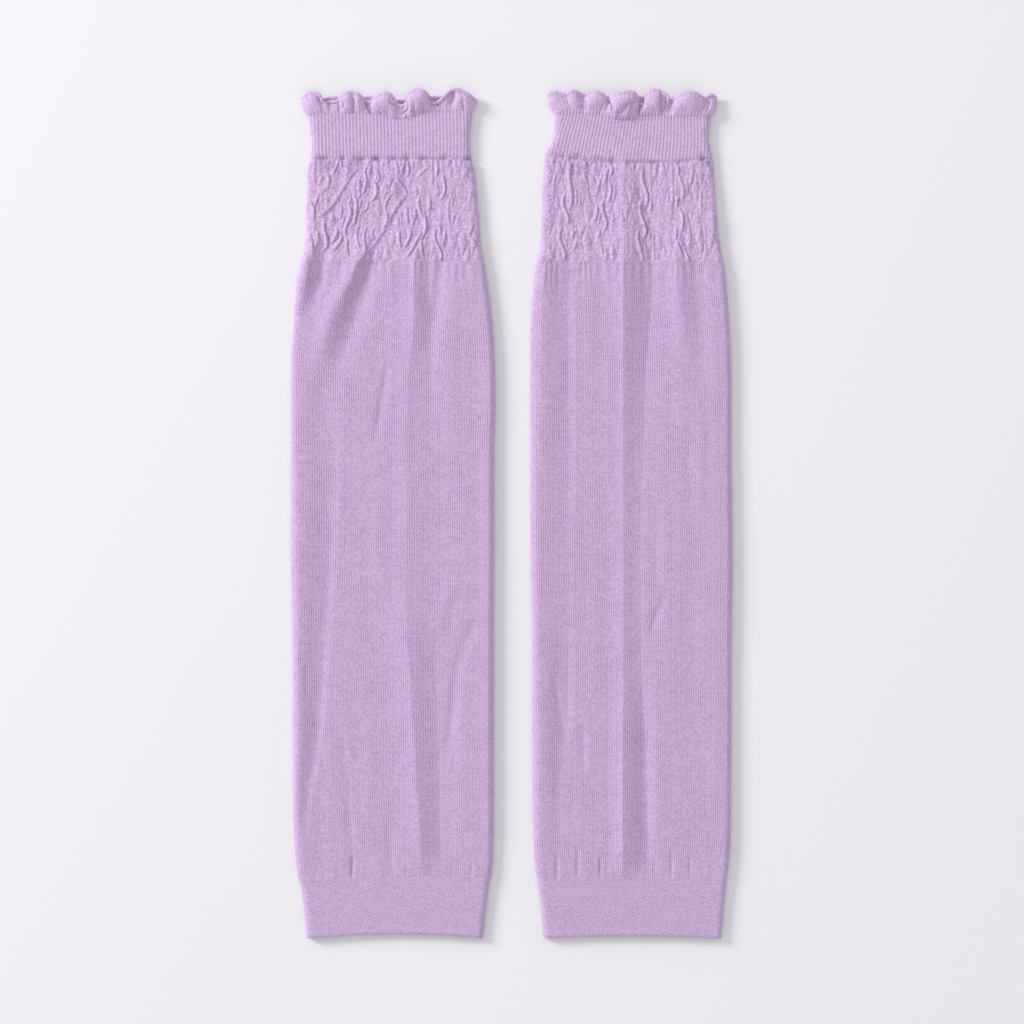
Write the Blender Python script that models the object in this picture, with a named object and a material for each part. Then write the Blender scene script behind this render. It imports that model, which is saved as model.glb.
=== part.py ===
"""A pair of knitted sleeve covers, laid flat side by side.

Each sleeve is a seamless tube in five stretches, from the hem up: cuff, plain body, crinkle band,
rib band and frilled ruffle. Every stretch is a closed cloth wall around a thin empty slot: a ring of
points runs over the front layer, round one folded side, along the back layer and round the other.
Sizes are in millimetres; the meshes are in metres. X runs across the sleeves, Y along them towards
the ruffles, and Z up from the surface they lie on.
"""

import math
from collections import namedtuple

import bmesh
import bpy
from mathutils import Vector

MM = 0.001

# Across the pair
SLEEVE_SPACING = 119.5        # from one sleeve's centre line to the other's
SEAM_GAP = 0.3                # left open between two stretches of a sleeve

# The cloth and the folded sides
CLOTH = 1.2                   # thickness of one knitted layer
SLOT = 0.6                    # empty height between the layers beside the folds
FOLD_UPPER = 3.2              # width of a folded side's upper rounding
FOLD_LOWER = 1.2              # width of its lower rounding, down to the flat underside
SLOT_INSET = 1.9              # from a folded side in to the end of the slot
LAYERS = 2 * CLOTH + SLOT     # height of the two layers beside the folds
FOLD_MIDDLE = LAYERS / 2      # height of the widest point of a folded side
SLOT_RISE = 0.3               # share of the front layer's rise that the slot's ceiling follows
THINNEST = 1.0                # thickness of the front layer under the deepest trough
THICKEST = 3.0                # and under the highest ridge
PLEAT_SINK = 0.4              # share of a pleat's step that lies below the plain front
FRONT_MIDDLE = 0.6            # rise of the front layer at the body's middle
FRONT_SWELL = 0.5             # its further rise towards the puffed sides

# Stitches and gathers
FRONT_RIBS = 48               # ribs across the front of the rib band
RIB_RISE = 0.5
CRINKLE_RISE = 0.7
CRINKLE_CREASES = 0.5         # share of the body's creases that runs on into the crinkle band
CHAIN_REPEAT = 14.5           # length of one leaf in the crinkle band
LEAF_HALF_WIDTH = 2.4
CRINKLE_RIDGE = 1.15          # half width of a leaf's raised edge
RUFFLE_FLARE = 3.6            # how far the ruffle's rim stands out past its base at each side
RUFFLE_CURL = 0.72 * math.pi  # how far over a front wave bends between its base and its rim
RUFFLE_SWELL = 0.8            # below 1 a wave rises steeply from its base
LOBE_ROUNDING = 2.4           # 2 is a parabola; above it a wave is fuller and its valleys sharper
RIM_LIFT = 0.5                # height of the front rim above the base all round
BACK_FOLLOWS = 0.3            # share of the front ruffle's lift that the back one has

LILAC = (0.565, 0.413, 0.645, 1.0)
KNIT_ROUGHNESS = 0.9

# The sleeve's half widths from its centre line at heights above the hem
Outline = namedtuple("Outline", "along left right")
# A line across the sleeve where two stretches meet, at its left side, middle and right side
Seam = namedtuple("Seam", "left middle right")
# What the front layer's rise is multiplied by at heights above the hem
Rise = namedtuple("Rise", "along scale")
# A soft crease of the body: a ridge where rise is above zero, else a trough; its flanks may be unlike
Crease = namedtuple("Crease", "across0 along0 across1 along1 bow left_width right_width rise")
# A place along a flat pleat: its two borders, how far the cloth steps down between them, and how
# wide the gentle slopes are on both sides of it
Pleat = namedtuple("Pleat", "along left right drop slope")
# A column of leaf-shaped cells in the crinkle band
Chain = namedtuple("Chain", "across lean phase strength")
# One wave of the ruffle: its reach beyond the base line and its height above the layer
Lobe = namedtuple("Lobe", "across width reach lift")
Sleeve = namedtuple(
    "Sleeve",
    "name side outline seams creases pleats chains front_lobes front_floor back_lobes back_floor",
)
# How densely a stretch's walls are divided
Density = namedtuple("Density", "top bottom rows inner_top inner_rows")
# A closed ring of points and its places round the section, from 0 up to 4
Ring = namedtuple("Ring", "points places")

DENSITY = {
    "cuff": Density(26, 4, 3, 10, 3),
    "body": Density(44, 4, 26, 12, 14),
    "crinkle": Density(72, 4, 14, 12, 2),
    "rib": Density(2 * FRONT_RIBS, 4, 3, 12, 1),
}
DOME = [
    Rise(0, 0.5),
    Rise(28, 0.5),
    Rise(60, 1.0),
    Rise(310, 1.0),
    Rise(345, 0.8),
    Rise(388, 0.5),
    Rise(412, 0.5),
]
RUFFLE_FRONT, RUFFLE_BACK, RUFFLE_SIDE = 50, 26, 3
RUFFLE_ROWS = (0.0, 0.28, 0.55, 0.8, 1.0)
NORMAL_STEP = 0.004           # share of a side over which the ruffle's slope is measured

LEFT = Sleeve(
    name="left",
    side=-1,
    outline=[
        Outline(0, 42.5, 45.0),
        Outline(15, 44.2, 46.7),
        Outline(28, 45.9, 48.5),
        Outline(34.5, 47.4, 49.6),
        Outline(48, 48.9, 50.3),
        Outline(90, 49.8, 50.4),
        Outline(150, 50.0, 50.5),
        Outline(190, 50.7, 50.8),
        Outline(245, 50.8, 50.9),
        Outline(270, 50.8, 51.4),
        Outline(290, 50.7, 51.0),
        Outline(308, 49.5, 49.9),
        Outline(333, 46.4, 46.9),
        Outline(338.5, 45.3, 46.0),
        Outline(345, 43.7, 44.6),
        Outline(368, 42.8, 42.6),
        Outline(383, 42.4, 41.0),
        Outline(390, 41.0, 39.4),
        Outline(398, 40.4, 38.3),
        Outline(412, 41.8, 39.6),
    ],
    seams=[
        Seam(0, 2.3, 0.3),
        Seam(27.5, 30.5, 29),
        Seam(337.5, 338.5, 337.5),
        Seam(389.7, 389.5, 389.5),
        Seam(411.4, 412.7, 413.7),
    ],
    creases=[
        Crease(-2, 292, -9.5, 246, 0.5, 2.0, 2.0, -0.6),
        Crease(24.5, 350, 21, 300, 0.0, 2.4, 3.5, -0.8),
        Crease(33, 182, 20, 146, -1.0, 4.5, 3.0, 0.5),
        Crease(42, 160, 31, 130, -1.0, 2.6, 4.0, -0.5),
        Crease(33, 142, 27, 88, 0.0, 2.2, 3.2, -0.5),
        Crease(-2, 58, -1, 31, 0.0, 2.0, 2.6, -0.3),
    ],
    pleats=[
        [
            Pleat(268, -40.0, -31.0, 0.0, 8),
            Pleat(285, -37.5, -27.0, 0.9, 8),
            Pleat(300, -33.5, -22.0, 2.3, 9),
            Pleat(315, -29.0, -17.5, 3.0, 9),
            Pleat(330, -20.5, -14.0, 3.4, 9),
            Pleat(338, -17.0, -12.0, 3.0, 9),
            Pleat(352, -12.0, -9.0, 0.0, 8),
        ],
        [
            Pleat(308, -49.0, -43.0, 0.0, 4),
            Pleat(318, -47.0, -40.0, 1.4, 5),
            Pleat(330, -44.0, -35.5, 2.9, 6),
            Pleat(338, -42.5, -35.5, 2.6, 6),
            Pleat(352, -40.0, -33.0, 0.0, 4),
        ],
        [
            Pleat(30, 15.0, 24.5, 0.0, 14),
            Pleat(45, 14.2, 24.0, 2.1, 14),
            Pleat(150, 7.5, 21.5, 1.7, 14),
            Pleat(165, 7.2, 23.0, 0.9, 12),
            Pleat(190, 7.2, 25.0, 0.6, 9),
            Pleat(250, 7.8, 24.0, 0.6, 8),
            Pleat(285, 8.0, 19.0, 0.9, 8),
            Pleat(300, 10.5, 19.5, 1.6, 9),
            Pleat(338, 11.0, 17.5, 1.5, 8),
            Pleat(350, 11.5, 19.0, 0.0, 8),
        ],
        [
            Pleat(50, -48.0, -44.0, 0.0, 3),
            Pleat(70, -48.0, -42.0, 0.9, 3),
            Pleat(100, -46.0, -37.8, 1.3, 4),
            Pleat(130, -46.5, -35.5, 1.3, 4),
            Pleat(190, -46.5, -31.5, 1.4, 5),
            Pleat(220, -46.5, -30.5, 1.2, 5),
            Pleat(250, -46.5, -30.0, 0.6, 5),
            Pleat(285, -46.5, -36.0, 0.5, 5),
            Pleat(298, -46.5, -38.0, 0.0, 5),
        ],
    ],
    chains=[
        Chain(-37, -0.18, 3.0, 0.9),
        Chain(-27, -0.22, 9.5, 1.0),
        Chain(-17, -0.20, 2.0, 1.0),
        Chain(-8, -0.22, 8.0, 0.8),
        Chain(3, -0.16, 4.0, 1.0),
        Chain(13, -0.10, 11.0, 0.9),
        Chain(22, -0.08, 5.0, 1.0),
        Chain(32, -0.03, 12.0, 0.8),
        Chain(40, 0.0, 6.0, 0.5),
    ],
    front_lobes=[
        Lobe(-40.5, 13.0, 11.9, 2.2),
        Lobe(-30.5, 9.0, 7.1, 0.6),
        Lobe(-21.0, 14.5, 11.4, 3.2),
        Lobe(-3.8, 13.5, 10.4, 3.4),
        Lobe(12.8, 15.0, 11.7, 3.7),
        Lobe(31.8, 21.5, 11.4, 3.4),
    ],
    front_floor=5.0,
    back_lobes=[
        Lobe(-30.0, 12.0, 9.4, 0.0),
        Lobe(-11.5, 11.0, 8.9, 0.0),
        Lobe(20.5, 10.0, 8.0, 0.0),
        Lobe(33.0, 12.0, 8.4, 0.0),
    ],
    back_floor=6.9,
)

RIGHT = Sleeve(
    name="right",
    side=1,
    outline=[
        Outline(0, 43.8, 45.0),
        Outline(15, 45.2, 46.4),
        Outline(28, 46.7, 47.6),
        Outline(34.5, 47.9, 48.4),
        Outline(48, 48.7, 49.5),
        Outline(90, 49.3, 50.1),
        Outline(150, 49.6, 50.2),
        Outline(190, 50.4, 50.5),
        Outline(245, 50.5, 50.1),
        Outline(270, 50.5, 50.1),
        Outline(290, 50.5, 49.8),
        Outline(308, 50.2, 49.0),
        Outline(333, 48.1, 46.9),
        Outline(338.5, 47.2, 46.2),
        Outline(345, 45.7, 44.8),
        Outline(352, 45.2, 43.4),
        Outline(368, 44.4, 42.2),
        Outline(383, 43.6, 41.3),
        Outline(390, 42.2, 40.0),
        Outline(398, 38.7, 38.6),
        Outline(412, 38.2, 39.4),
    ],
    seams=[
        Seam(0.2, 1.3, 0.2),
        Seam(28.6, 28.9, 28.8),
        Seam(337.5, 338, 337.5),
        Seam(391.5, 387.8, 390.0),
        Seam(412, 411.5, 411.5),
    ],
    creases=[
        Crease(-22, 344, -20, 280, 0.0, 6.0, 6.0, 0.6),
        Crease(34.5, 280, 34.5, 205, 0.0, 3.4, 3.4, 0.4),
        Crease(18, 173, 8.5, 151, -0.5, 2.0, 2.2, -0.5),
        Crease(-24, 112, -24, 80, 0.0, 2.4, 2.0, -0.5),
    ],
    pleats=[
        [
            Pleat(29, -4.5, 8.0, 0.0, 10),
            Pleat(36, -4.5, 8.5, 2.0, 8),
            Pleat(45, -4.5, 8.5, 2.9, 8),
            Pleat(100, -4.5, 7.0, 2.4, 8),
            Pleat(130, -4.3, 5.0, 1.5, 8),
            Pleat(190, -4.3, 4.5, 1.2, 8),
            Pleat(250, -4.3, 6.0, 1.6, 10),
            Pleat(280, -4.3, 7.0, 2.2, 12),
            Pleat(315, -4.3, 10.0, 3.2, 14),
            Pleat(345, -4.0, 10.0, 3.0, 14),
            Pleat(385, -3.8, 8.0, 1.2, 12),
            Pleat(397, -3.5, 6.0, 0.0, 10),
        ],
        [
            Pleat(30, -44.0, -35.0, 0.0, 4),
            Pleat(45, -45.5, -35.0, 0.3, 4),
            Pleat(70, -46.0, -36.0, 0.5, 4),
            Pleat(100, -46.0, -33.0, 1.0, 4),
            Pleat(130, -46.0, -32.0, 1.1, 4),
            Pleat(190, -46.0, -32.0, 0.6, 4),
            Pleat(250, -46.0, -31.0, 1.0, 4),
            Pleat(300, -45.0, -31.5, 1.3, 4),
            Pleat(338, -43.5, -31.5, 1.2, 4),
            Pleat(352, -42.0, -31.5, 0.0, 4),
        ],
        [
            Pleat(180, 30.0, 35.0, 0.0, 8),
            Pleat(280, 29.0, 35.0, 0.3, 8),
            Pleat(300, 27.5, 34.5, 0.7, 8),
            Pleat(315, 24.0, 34.0, 1.1, 8),
            Pleat(338, 22.5, 33.0, 1.4, 8),
            Pleat(350, 22.0, 31.0, 0.0, 8),
        ],
    ],
    chains=[
        Chain(-39, 0.0, 10.0, 0.5),
        Chain(-31, -0.02, 2.5, 1.0),
        Chain(-22, -0.04, 9.5, 0.7),
        Chain(-14, -0.04, 4.0, 1.0),
        Chain(-5, 0.0, 12.0, 0.5),
        Chain(7, 0.0, 1.5, 1.0),
        Chain(16, 0.0, 8.5, 0.6),
        Chain(25, 0.02, 3.5, 1.0),
        Chain(36, 0.03, 10.5, 0.8),
    ],
    front_lobes=[
        Lobe(-37.5, 14.0, 11.7, 1.6),
        Lobe(-29.3, 11.0, 12.3, 2.2),
        Lobe(-18.6, 17.0, 11.8, 3.0),
        Lobe(-2.8, 16.5, 12.1, 3.7),
        Lobe(12.0, 14.0, 13.0, 3.4),
        Lobe(27.8, 19.5, 12.1, 3.5),
        Lobe(40.2, 8.5, 10.6, 1.2),
    ],
    front_floor=6.6,
    back_lobes=[
        Lobe(-34.0, 10.0, 9.0, 0.0),
        Lobe(-23.0, 9.0, 8.8, 0.0),
        Lobe(-11.5, 10.0, 9.5, 0.0),
        Lobe(5.0, 10.0, 9.7, 0.0),
        Lobe(35.5, 10.0, 9.5, 0.0),
    ],
    back_floor=8.1,
)


def smooth_step(value):
    value = min(max(value, 0.0), 1.0)
    return value * value * (3 - 2 * value)


def half_width(sleeve, along, column):
    """The outline's half width at a height above the hem, on a smooth curve through its rows."""
    rows = sleeve.outline
    along = min(max(along, rows[0].along), rows[-1].along)
    index = 0
    while index < len(rows) - 2 and rows[index + 1].along < along:
        index += 1
    start, end = rows[index], rows[index + 1]
    before, after = rows[max(index - 1, 0)], rows[min(index + 2, len(rows) - 1)]
    span = end.along - start.along
    place = (along - start.along) / span
    width0, width1 = getattr(start, column), getattr(end, column)
    slope0 = (width1 - getattr(before, column)) / (end.along - before.along) * span
    slope1 = (getattr(after, column) - width0) / (after.along - start.along) * span
    rise = width1 - width0
    if slope0 * rise <= 0:
        slope0 = 0
    if slope1 * rise <= 0:
        slope1 = 0
    return (
        width0
        + slope0 * place
        + (3 * rise - 2 * slope0 - slope1) * place ** 2
        + (slope0 + slope1 - 2 * rise) * place ** 3
    )


def seam_height(seam, share):
    """Where a seam lies along the sleeve; share runs from -1 at the left side to 1 at the right."""
    tilt = (seam.right - seam.left) / 2
    sag = (seam.right + seam.left) / 2 - seam.middle
    return seam.middle + tilt * share + sag * share ** 2


def crease_height(crease, across, along):
    """The height that one crease adds at a point of the body."""
    run = Vector((crease.across1 - crease.across0, crease.along1 - crease.along0))
    offset = Vector((across - crease.across0, along - crease.along0))
    place = offset.dot(run) / run.length_squared
    if not 0 < place < 1:
        return 0.0
    aside = (run.y * offset.x - run.x * offset.y) / run.length
    aside -= crease.bow * math.copysign(4, run.y) * place * (1 - place)
    aside *= math.copysign(1, run.y)
    width = crease.left_width if aside < 0 else crease.right_width
    taper = smooth_step(place * 4) * smooth_step((1 - place) * 4)
    return crease.rise * taper * math.exp(-((aside / width) ** 2))


def pleat_height(rows, across, along):
    """A gentle slope up to the pleat's left border, then a flat facet down to its right one."""
    for start, end in zip(rows, rows[1:]):
        if start.along <= along < end.along:
            place = (along - start.along) / (end.along - start.along)
            left = start.left + (end.left - start.left) * place
            right = start.right + (end.right - start.right) * place
            drop = start.drop + (end.drop - start.drop) * place
            slope = start.slope + (end.slope - start.slope) * place
            if across < left:
                return drop * (1 - PLEAT_SINK) * max(1 - (left - across) / slope, 0) ** 2
            if across > right:
                return -drop * PLEAT_SINK * max(1 - (across - right) / slope, 0) ** 2
            return drop * ((right - across) / (right - left) - PLEAT_SINK)
    return 0.0


def crinkle_height(sleeve, across, along):
    """The raised, wandering edges of the leaf-shaped cells, which meet between two leaves."""
    height = 0.0
    middle = (sleeve.seams[2].middle + sleeve.seams[3].middle) / 2
    for chain in sleeve.chains:
        centre = chain.across - chain.lean * (middle - along)
        turn = math.pi * (along - chain.phase) / CHAIN_REPEAT
        spread = LEAF_HALF_WIDTH * abs(math.sin(turn)) ** 0.8
        for edge in (-spread, spread):
            aside = (across - centre - edge) / CRINKLE_RIDGE
            height = max(height, chain.strength * math.exp(-aside * aside))
    return CRINKLE_RISE * height


def rib_height(column):
    """Ribs of two columns each: one column up, the next one down."""
    return RIB_RISE * (column % 2)


def relief(sleeve, stretch, across, along, column, rise):
    """How far a stretch's stitches and creases raise its outer surface above its plain rise."""
    if stretch == "rib":
        return rib_height(column)
    if stretch == "cuff":
        return 0.0
    raised = sum(crease_height(crease, across, along) for crease in sleeve.creases)
    raised += sum(pleat_height(rows, across, along) for rows in sleeve.pleats)
    if stretch == "crinkle":
        raised = CRINKLE_CREASES * raised + crinkle_height(sleeve, across, along)
    plain = CLOTH + (1 - SLOT_RISE) * rise
    return min(max(raised, THINNEST - plain), THICKEST - plain)


def dome_height(along, share):
    """The front layer's rise: low along the middle, higher along the puffed sides."""
    for start, end in zip(DOME, DOME[1:]):
        if along <= end.along:
            break
    place = min(max((along - start.along) / (end.along - start.along), 0), 1)
    scale = start.scale + (end.scale - start.scale) * place
    return scale * (FRONT_MIDDLE + FRONT_SWELL * abs(share) ** 2.5)


def stretch_along(sleeve, stretch, place, share):
    """The distance above the hem at a place from 0 to 1 through a stretch, between its two seams."""
    index = list(DENSITY).index(stretch)
    start = seam_height(sleeve.seams[index], share) + (SEAM_GAP / 2 if index else 0)
    end = seam_height(sleeve.seams[index + 1], share) - SEAM_GAP / 2
    return start + (end - start) * place


def outer_ring(sleeve, stretch, place):
    """One ring of the outer surface: front layer, right fold, flat underside, left fold."""
    density = DENSITY[stretch]
    level = stretch_along(sleeve, stretch, place, 0)
    left = half_width(sleeve, level, "left")
    right = half_width(sleeve, level, "right")
    points, places = [], []

    def add(across, height, spot, column, tilt):
        share = (2 * across - right + left) / (right + left)
        along = stretch_along(sleeve, stretch, place, max(-1, min(share, 1)))
        rise = dome_height(level, max(-1, min(share, 1)))
        raised = relief(sleeve, stretch, across, along, column, rise) if height > FOLD_MIDDLE else 0
        points.append(Vector((across + raised * math.sin(tilt), along, height + raised * math.cos(tilt))))
        places.append(spot)

    top_left, top_right = FOLD_UPPER - left, right - FOLD_UPPER
    for column in range(density.top + 1):
        part = column / density.top
        across = top_left + (top_right - top_left) * part
        add(across, LAYERS + dome_height(level, 2 * part - 1), part, column, 0)
    for step, degrees in enumerate((30, 60, 90, 135)):
        turn = math.radians(degrees)
        width = FOLD_UPPER if degrees <= 90 else FOLD_LOWER
        across = right - width + width * math.sin(turn)
        height = FOLD_MIDDLE * (1 + math.cos(turn)) + dome_height(level, 1) * max(math.cos(turn), 0)
        add(across, height, 1 + (step + 1) / 5, step, turn)
    for column in range(density.bottom + 1):
        part = column / density.bottom
        across = (right - FOLD_LOWER) * (1 - part) + (FOLD_LOWER - left) * part
        add(across, 0, 2 + part, 0, 0)
    for step, degrees in enumerate((135, 90, 60, 30)):
        turn = math.radians(degrees)
        width = FOLD_UPPER if degrees <= 90 else FOLD_LOWER
        across = width - left - width * math.sin(turn)
        height = FOLD_MIDDLE * (1 + math.cos(turn)) + dome_height(level, 1) * max(math.cos(turn), 0)
        add(across, height, 3 + (step + 1) / 5, step + 1, -turn)
    return Ring(points, places)


def inner_ring(sleeve, stretch, place):
    """One ring of the plain inner surface: the slot that an arm opens."""
    density = DENSITY[stretch]
    level = stretch_along(sleeve, stretch, place, 0)
    left = half_width(sleeve, level, "left") - SLOT_INSET
    right = half_width(sleeve, level, "right") - SLOT_INSET
    rounding = SLOT / 2
    points, places = [], []

    def add(across, height, spot):
        share = (2 * across - right + left) / (right + left)
        along = stretch_along(sleeve, stretch, place, share)
        points.append(Vector((across, along, height)))
        places.append(spot)

    for column in range(density.inner_top + 1):
        part = column / density.inner_top
        across = (rounding - left) * (1 - part) + (right - rounding) * part
        add(across, CLOTH + SLOT + SLOT_RISE * dome_height(level, 2 * part - 1), part)
    add(right, FOLD_MIDDLE, 1.5)
    for column in range(density.bottom + 1):
        part = column / density.bottom
        across = (right - rounding) * (1 - part) + (rounding - left) * part
        add(across, CLOTH, 2 + part)
    add(-left, FOLD_MIDDLE, 3.5)
    return Ring(points, places)


def lobe_wave(lobe, across):
    """A lobe's share at a place across the sleeve: 1 at its rounded middle, 0 beyond its sides."""
    return max(1 - abs(2 * (across - lobe.across) / lobe.width) ** LOBE_ROUNDING, 0.0)


def ruffle_middle(sleeve, spot, place):
    """A point of the ruffle's middle surface; spot is the place round it, place runs base to rim."""
    base = sleeve.seams[-1]
    flare = RUFFLE_FLARE * math.sin(math.pi / 2 * place)
    left = half_width(sleeve, base.left, "left") - CLOTH / 2 + flare
    right = half_width(sleeve, base.right, "right") - CLOTH / 2 + flare
    side = FOLD_UPPER - CLOTH / 2
    low, high = CLOTH / 2, LAYERS - CLOTH / 2
    if spot <= 1 or 2 <= spot <= 3:
        part = spot if spot <= 1 else 3 - spot
        across = (side - left) * (1 - part) + (right - side) * part
    elif spot < 2:
        across = right - side + side * math.sin(math.pi * (spot - 1))
    else:
        across = side - left - side * math.sin(math.pi * (spot - 3))
    share = max(-1, min((2 * across - right + left) / (right + left), 1))
    start = seam_height(base, share) + SEAM_GAP / 2
    front_reach = sleeve.front_floor + max(
        lobe_wave(lobe, across) * (lobe.reach - sleeve.front_floor) for lobe in sleeve.front_lobes
    )
    back_reach = sleeve.back_floor + max(
        lobe_wave(lobe, across) * (lobe.reach - sleeve.back_floor) for lobe in sleeve.back_lobes
    )
    swell = math.sin(RUFFLE_CURL * place ** RUFFLE_SWELL)
    lift = swell * max(lobe_wave(lobe, across) * lobe.lift for lobe in sleeve.front_lobes)
    fade = 1 - share ** 12
    front_height = high + dome_height(base.middle, share) + lift * fade + RIM_LIFT * place
    back_height = low + BACK_FOLLOWS * lift * fade * place
    if spot <= 1:
        return Vector((across, start + front_reach * place, front_height))
    if 2 <= spot <= 3:
        return Vector((across, start + back_reach * place, back_height))
    turn = spot - 1 if spot < 2 else 4 - spot
    mix = smooth_step(turn)
    height = low + (front_height - low) * (1 + math.cos(math.pi * turn)) / 2
    return Vector((across, start + (front_reach * (1 - mix) + back_reach * mix) * place, height))


def ruffle_spots():
    """Places round the ruffle: dense on the front, sparser on the back and the sides."""
    spots = [column / RUFFLE_FRONT for column in range(RUFFLE_FRONT)]
    spots += [1 + step / RUFFLE_SIDE for step in range(RUFFLE_SIDE)]
    spots += [2 + column / RUFFLE_BACK for column in range(RUFFLE_BACK)]
    spots += [3 + step / RUFFLE_SIDE for step in range(RUFFLE_SIDE)]
    return spots


def ruffle_ring(sleeve, place, offset):
    """One ring of the ruffle's wall, offset outwards from its middle surface."""
    points = []
    spots = ruffle_spots()
    for spot in spots:
        ahead = ruffle_middle(sleeve, (spot + NORMAL_STEP) % 4, place)
        behind = ruffle_middle(sleeve, (spot - NORMAL_STEP) % 4, place)
        up = ruffle_middle(sleeve, spot, min(place + NORMAL_STEP, 1))
        down = ruffle_middle(sleeve, spot, max(place - NORMAL_STEP, 0))
        normal = (ahead - behind).cross(up - down)
        if place == 0:
            normal.y = 0
        point = ruffle_middle(sleeve, spot, place) + normal.normalized() * offset
        point.z = max(point.z, 0)
        points.append(point)
    return Ring(points, spots)


def add_ring(mesh, ring, shift):
    return [mesh.verts.new((point + shift) * MM) for point in ring.points]


def join_rings(mesh, near, far, outwards):
    """Quads between two rings of equal count."""
    count = len(near)
    for index in range(count):
        after = (index + 1) % count
        corners = [near[index], near[after], far[after], far[index]]
        mesh.faces.new(corners if outwards else corners[::-1])


def close_end(mesh, outer, outer_places, inner, inner_places, upper):
    """Triangles across the cloth's cut edge, between an outer and an inner ring of unlike counts."""
    outer_count, inner_count = len(outer), len(inner)
    i = j = 0
    while i < outer_count or j < inner_count:
        next_outer = outer_places[i + 1] if i + 1 < outer_count else (4 if i < outer_count else 5)
        next_inner = inner_places[j + 1] if j + 1 < inner_count else (4 if j < inner_count else 5)
        a, b = outer[i % outer_count], inner[j % inner_count]
        if next_outer <= next_inner:
            i += 1
            corners = [a, outer[i % outer_count], b]
        else:
            j += 1
            corners = [a, inner[j % inner_count], b]
        mesh.faces.new(corners if upper else corners[::-1])


def build_wall(name, outer_rings, inner_rings, shift, material, parent, collection):
    """A closed cloth wall from its outer and inner rings, listed from the hem's end upwards."""
    mesh = bmesh.new()
    outer = [add_ring(mesh, ring, shift) for ring in outer_rings]
    inner = [add_ring(mesh, ring, shift) for ring in inner_rings]
    for near, far in zip(outer, outer[1:]):
        join_rings(mesh, near, far, True)
    for near, far in zip(inner, inner[1:]):
        join_rings(mesh, near, far, False)
    for end, upper in ((0, False), (-1, True)):
        close_end(
            mesh, outer[end], outer_rings[end].places, inner[end], inner_rings[end].places, upper
        )
    bmesh.ops.triangulate(mesh, faces=mesh.faces, quad_method="SHORT_EDGE")
    data = bpy.data.meshes.new(name)
    mesh.to_mesh(data)
    mesh.free()
    data.materials.append(material)
    data.shade_smooth()
    data.set_sharp_from_angle(angle=math.radians(60))
    wall = bpy.data.objects.new(name, data)
    wall.parent = parent
    collection.objects.link(wall)
    return wall


def knit_material(name):
    material = bpy.data.materials.new(name)
    material.use_nodes = True
    shader = material.node_tree.nodes["Principled BSDF"]
    shader.inputs["Base Color"].default_value = LILAC
    shader.inputs["Roughness"].default_value = KNIT_ROUGHNESS
    shader.inputs["Metallic"].default_value = 0.0
    return material


def build_sleeve(sleeve, parent, collection):
    """The five stretches of one sleeve, from the hem up."""
    shift = Vector((sleeve.side * SLEEVE_SPACING / 2, 0, 0))
    walls = []
    for stretch, density in DENSITY.items():
        name = f"{sleeve.name}_{stretch}"
        outer = [outer_ring(sleeve, stretch, row / density.rows) for row in range(density.rows + 1)]
        inner = [
            inner_ring(sleeve, stretch, row / density.inner_rows)
            for row in range(density.inner_rows + 1)
        ]
        walls.append(build_wall(name, outer, inner, shift, knit_material(name), parent, collection))
    name = f"{sleeve.name}_ruffle"
    outer = [ruffle_ring(sleeve, place, CLOTH / 2) for place in RUFFLE_ROWS]
    inner = [ruffle_ring(sleeve, place, -CLOTH / 2) for place in RUFFLE_ROWS]
    walls.append(build_wall(name, outer, inner, shift, knit_material(name), parent, collection))
    return walls


def centre_on_floor(parent, walls):
    """Moves the pair so that the origin is the middle of its underside."""
    corners = [vertex.co for wall in walls for vertex in wall.data.vertices]
    low = Vector([min(corner[axis] for corner in corners) for axis in range(3)])
    high = Vector([max(corner[axis] for corner in corners) for axis in range(3)])
    parent.location = (-(low.x + high.x) / 2, -(low.y + high.y) / 2, -low.z)


def main():
    for old in list(bpy.data.objects):
        bpy.data.objects.remove(old)
    collection = bpy.data.collections.new("sleeve_covers")
    bpy.context.scene.collection.children.link(collection)
    pair = bpy.data.objects.new("pair", None)
    collection.objects.link(pair)
    walls = build_sleeve(LEFT, pair, collection) + build_sleeve(RIGHT, pair, collection)
    centre_on_floor(pair, walls)


main()
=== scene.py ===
"""The looks of a pair of lilac knitted sleeve covers, laid flat on a pale surface.

Each sleeve is five knitted pieces: cuff, body, crinkle band, rib band and ruffle. Their shells follow
the solids of the part and add the stitches, creases, puckers and rolled rim. Sizes are in millimetres,
measured from each sleeve's own centre line and hem, as in the part's source; the meshes are in metres.
X runs across the sleeves, Y along them towards the ruffles, and Z up from the surface they lie on.
"""

from collections import namedtuple

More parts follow.
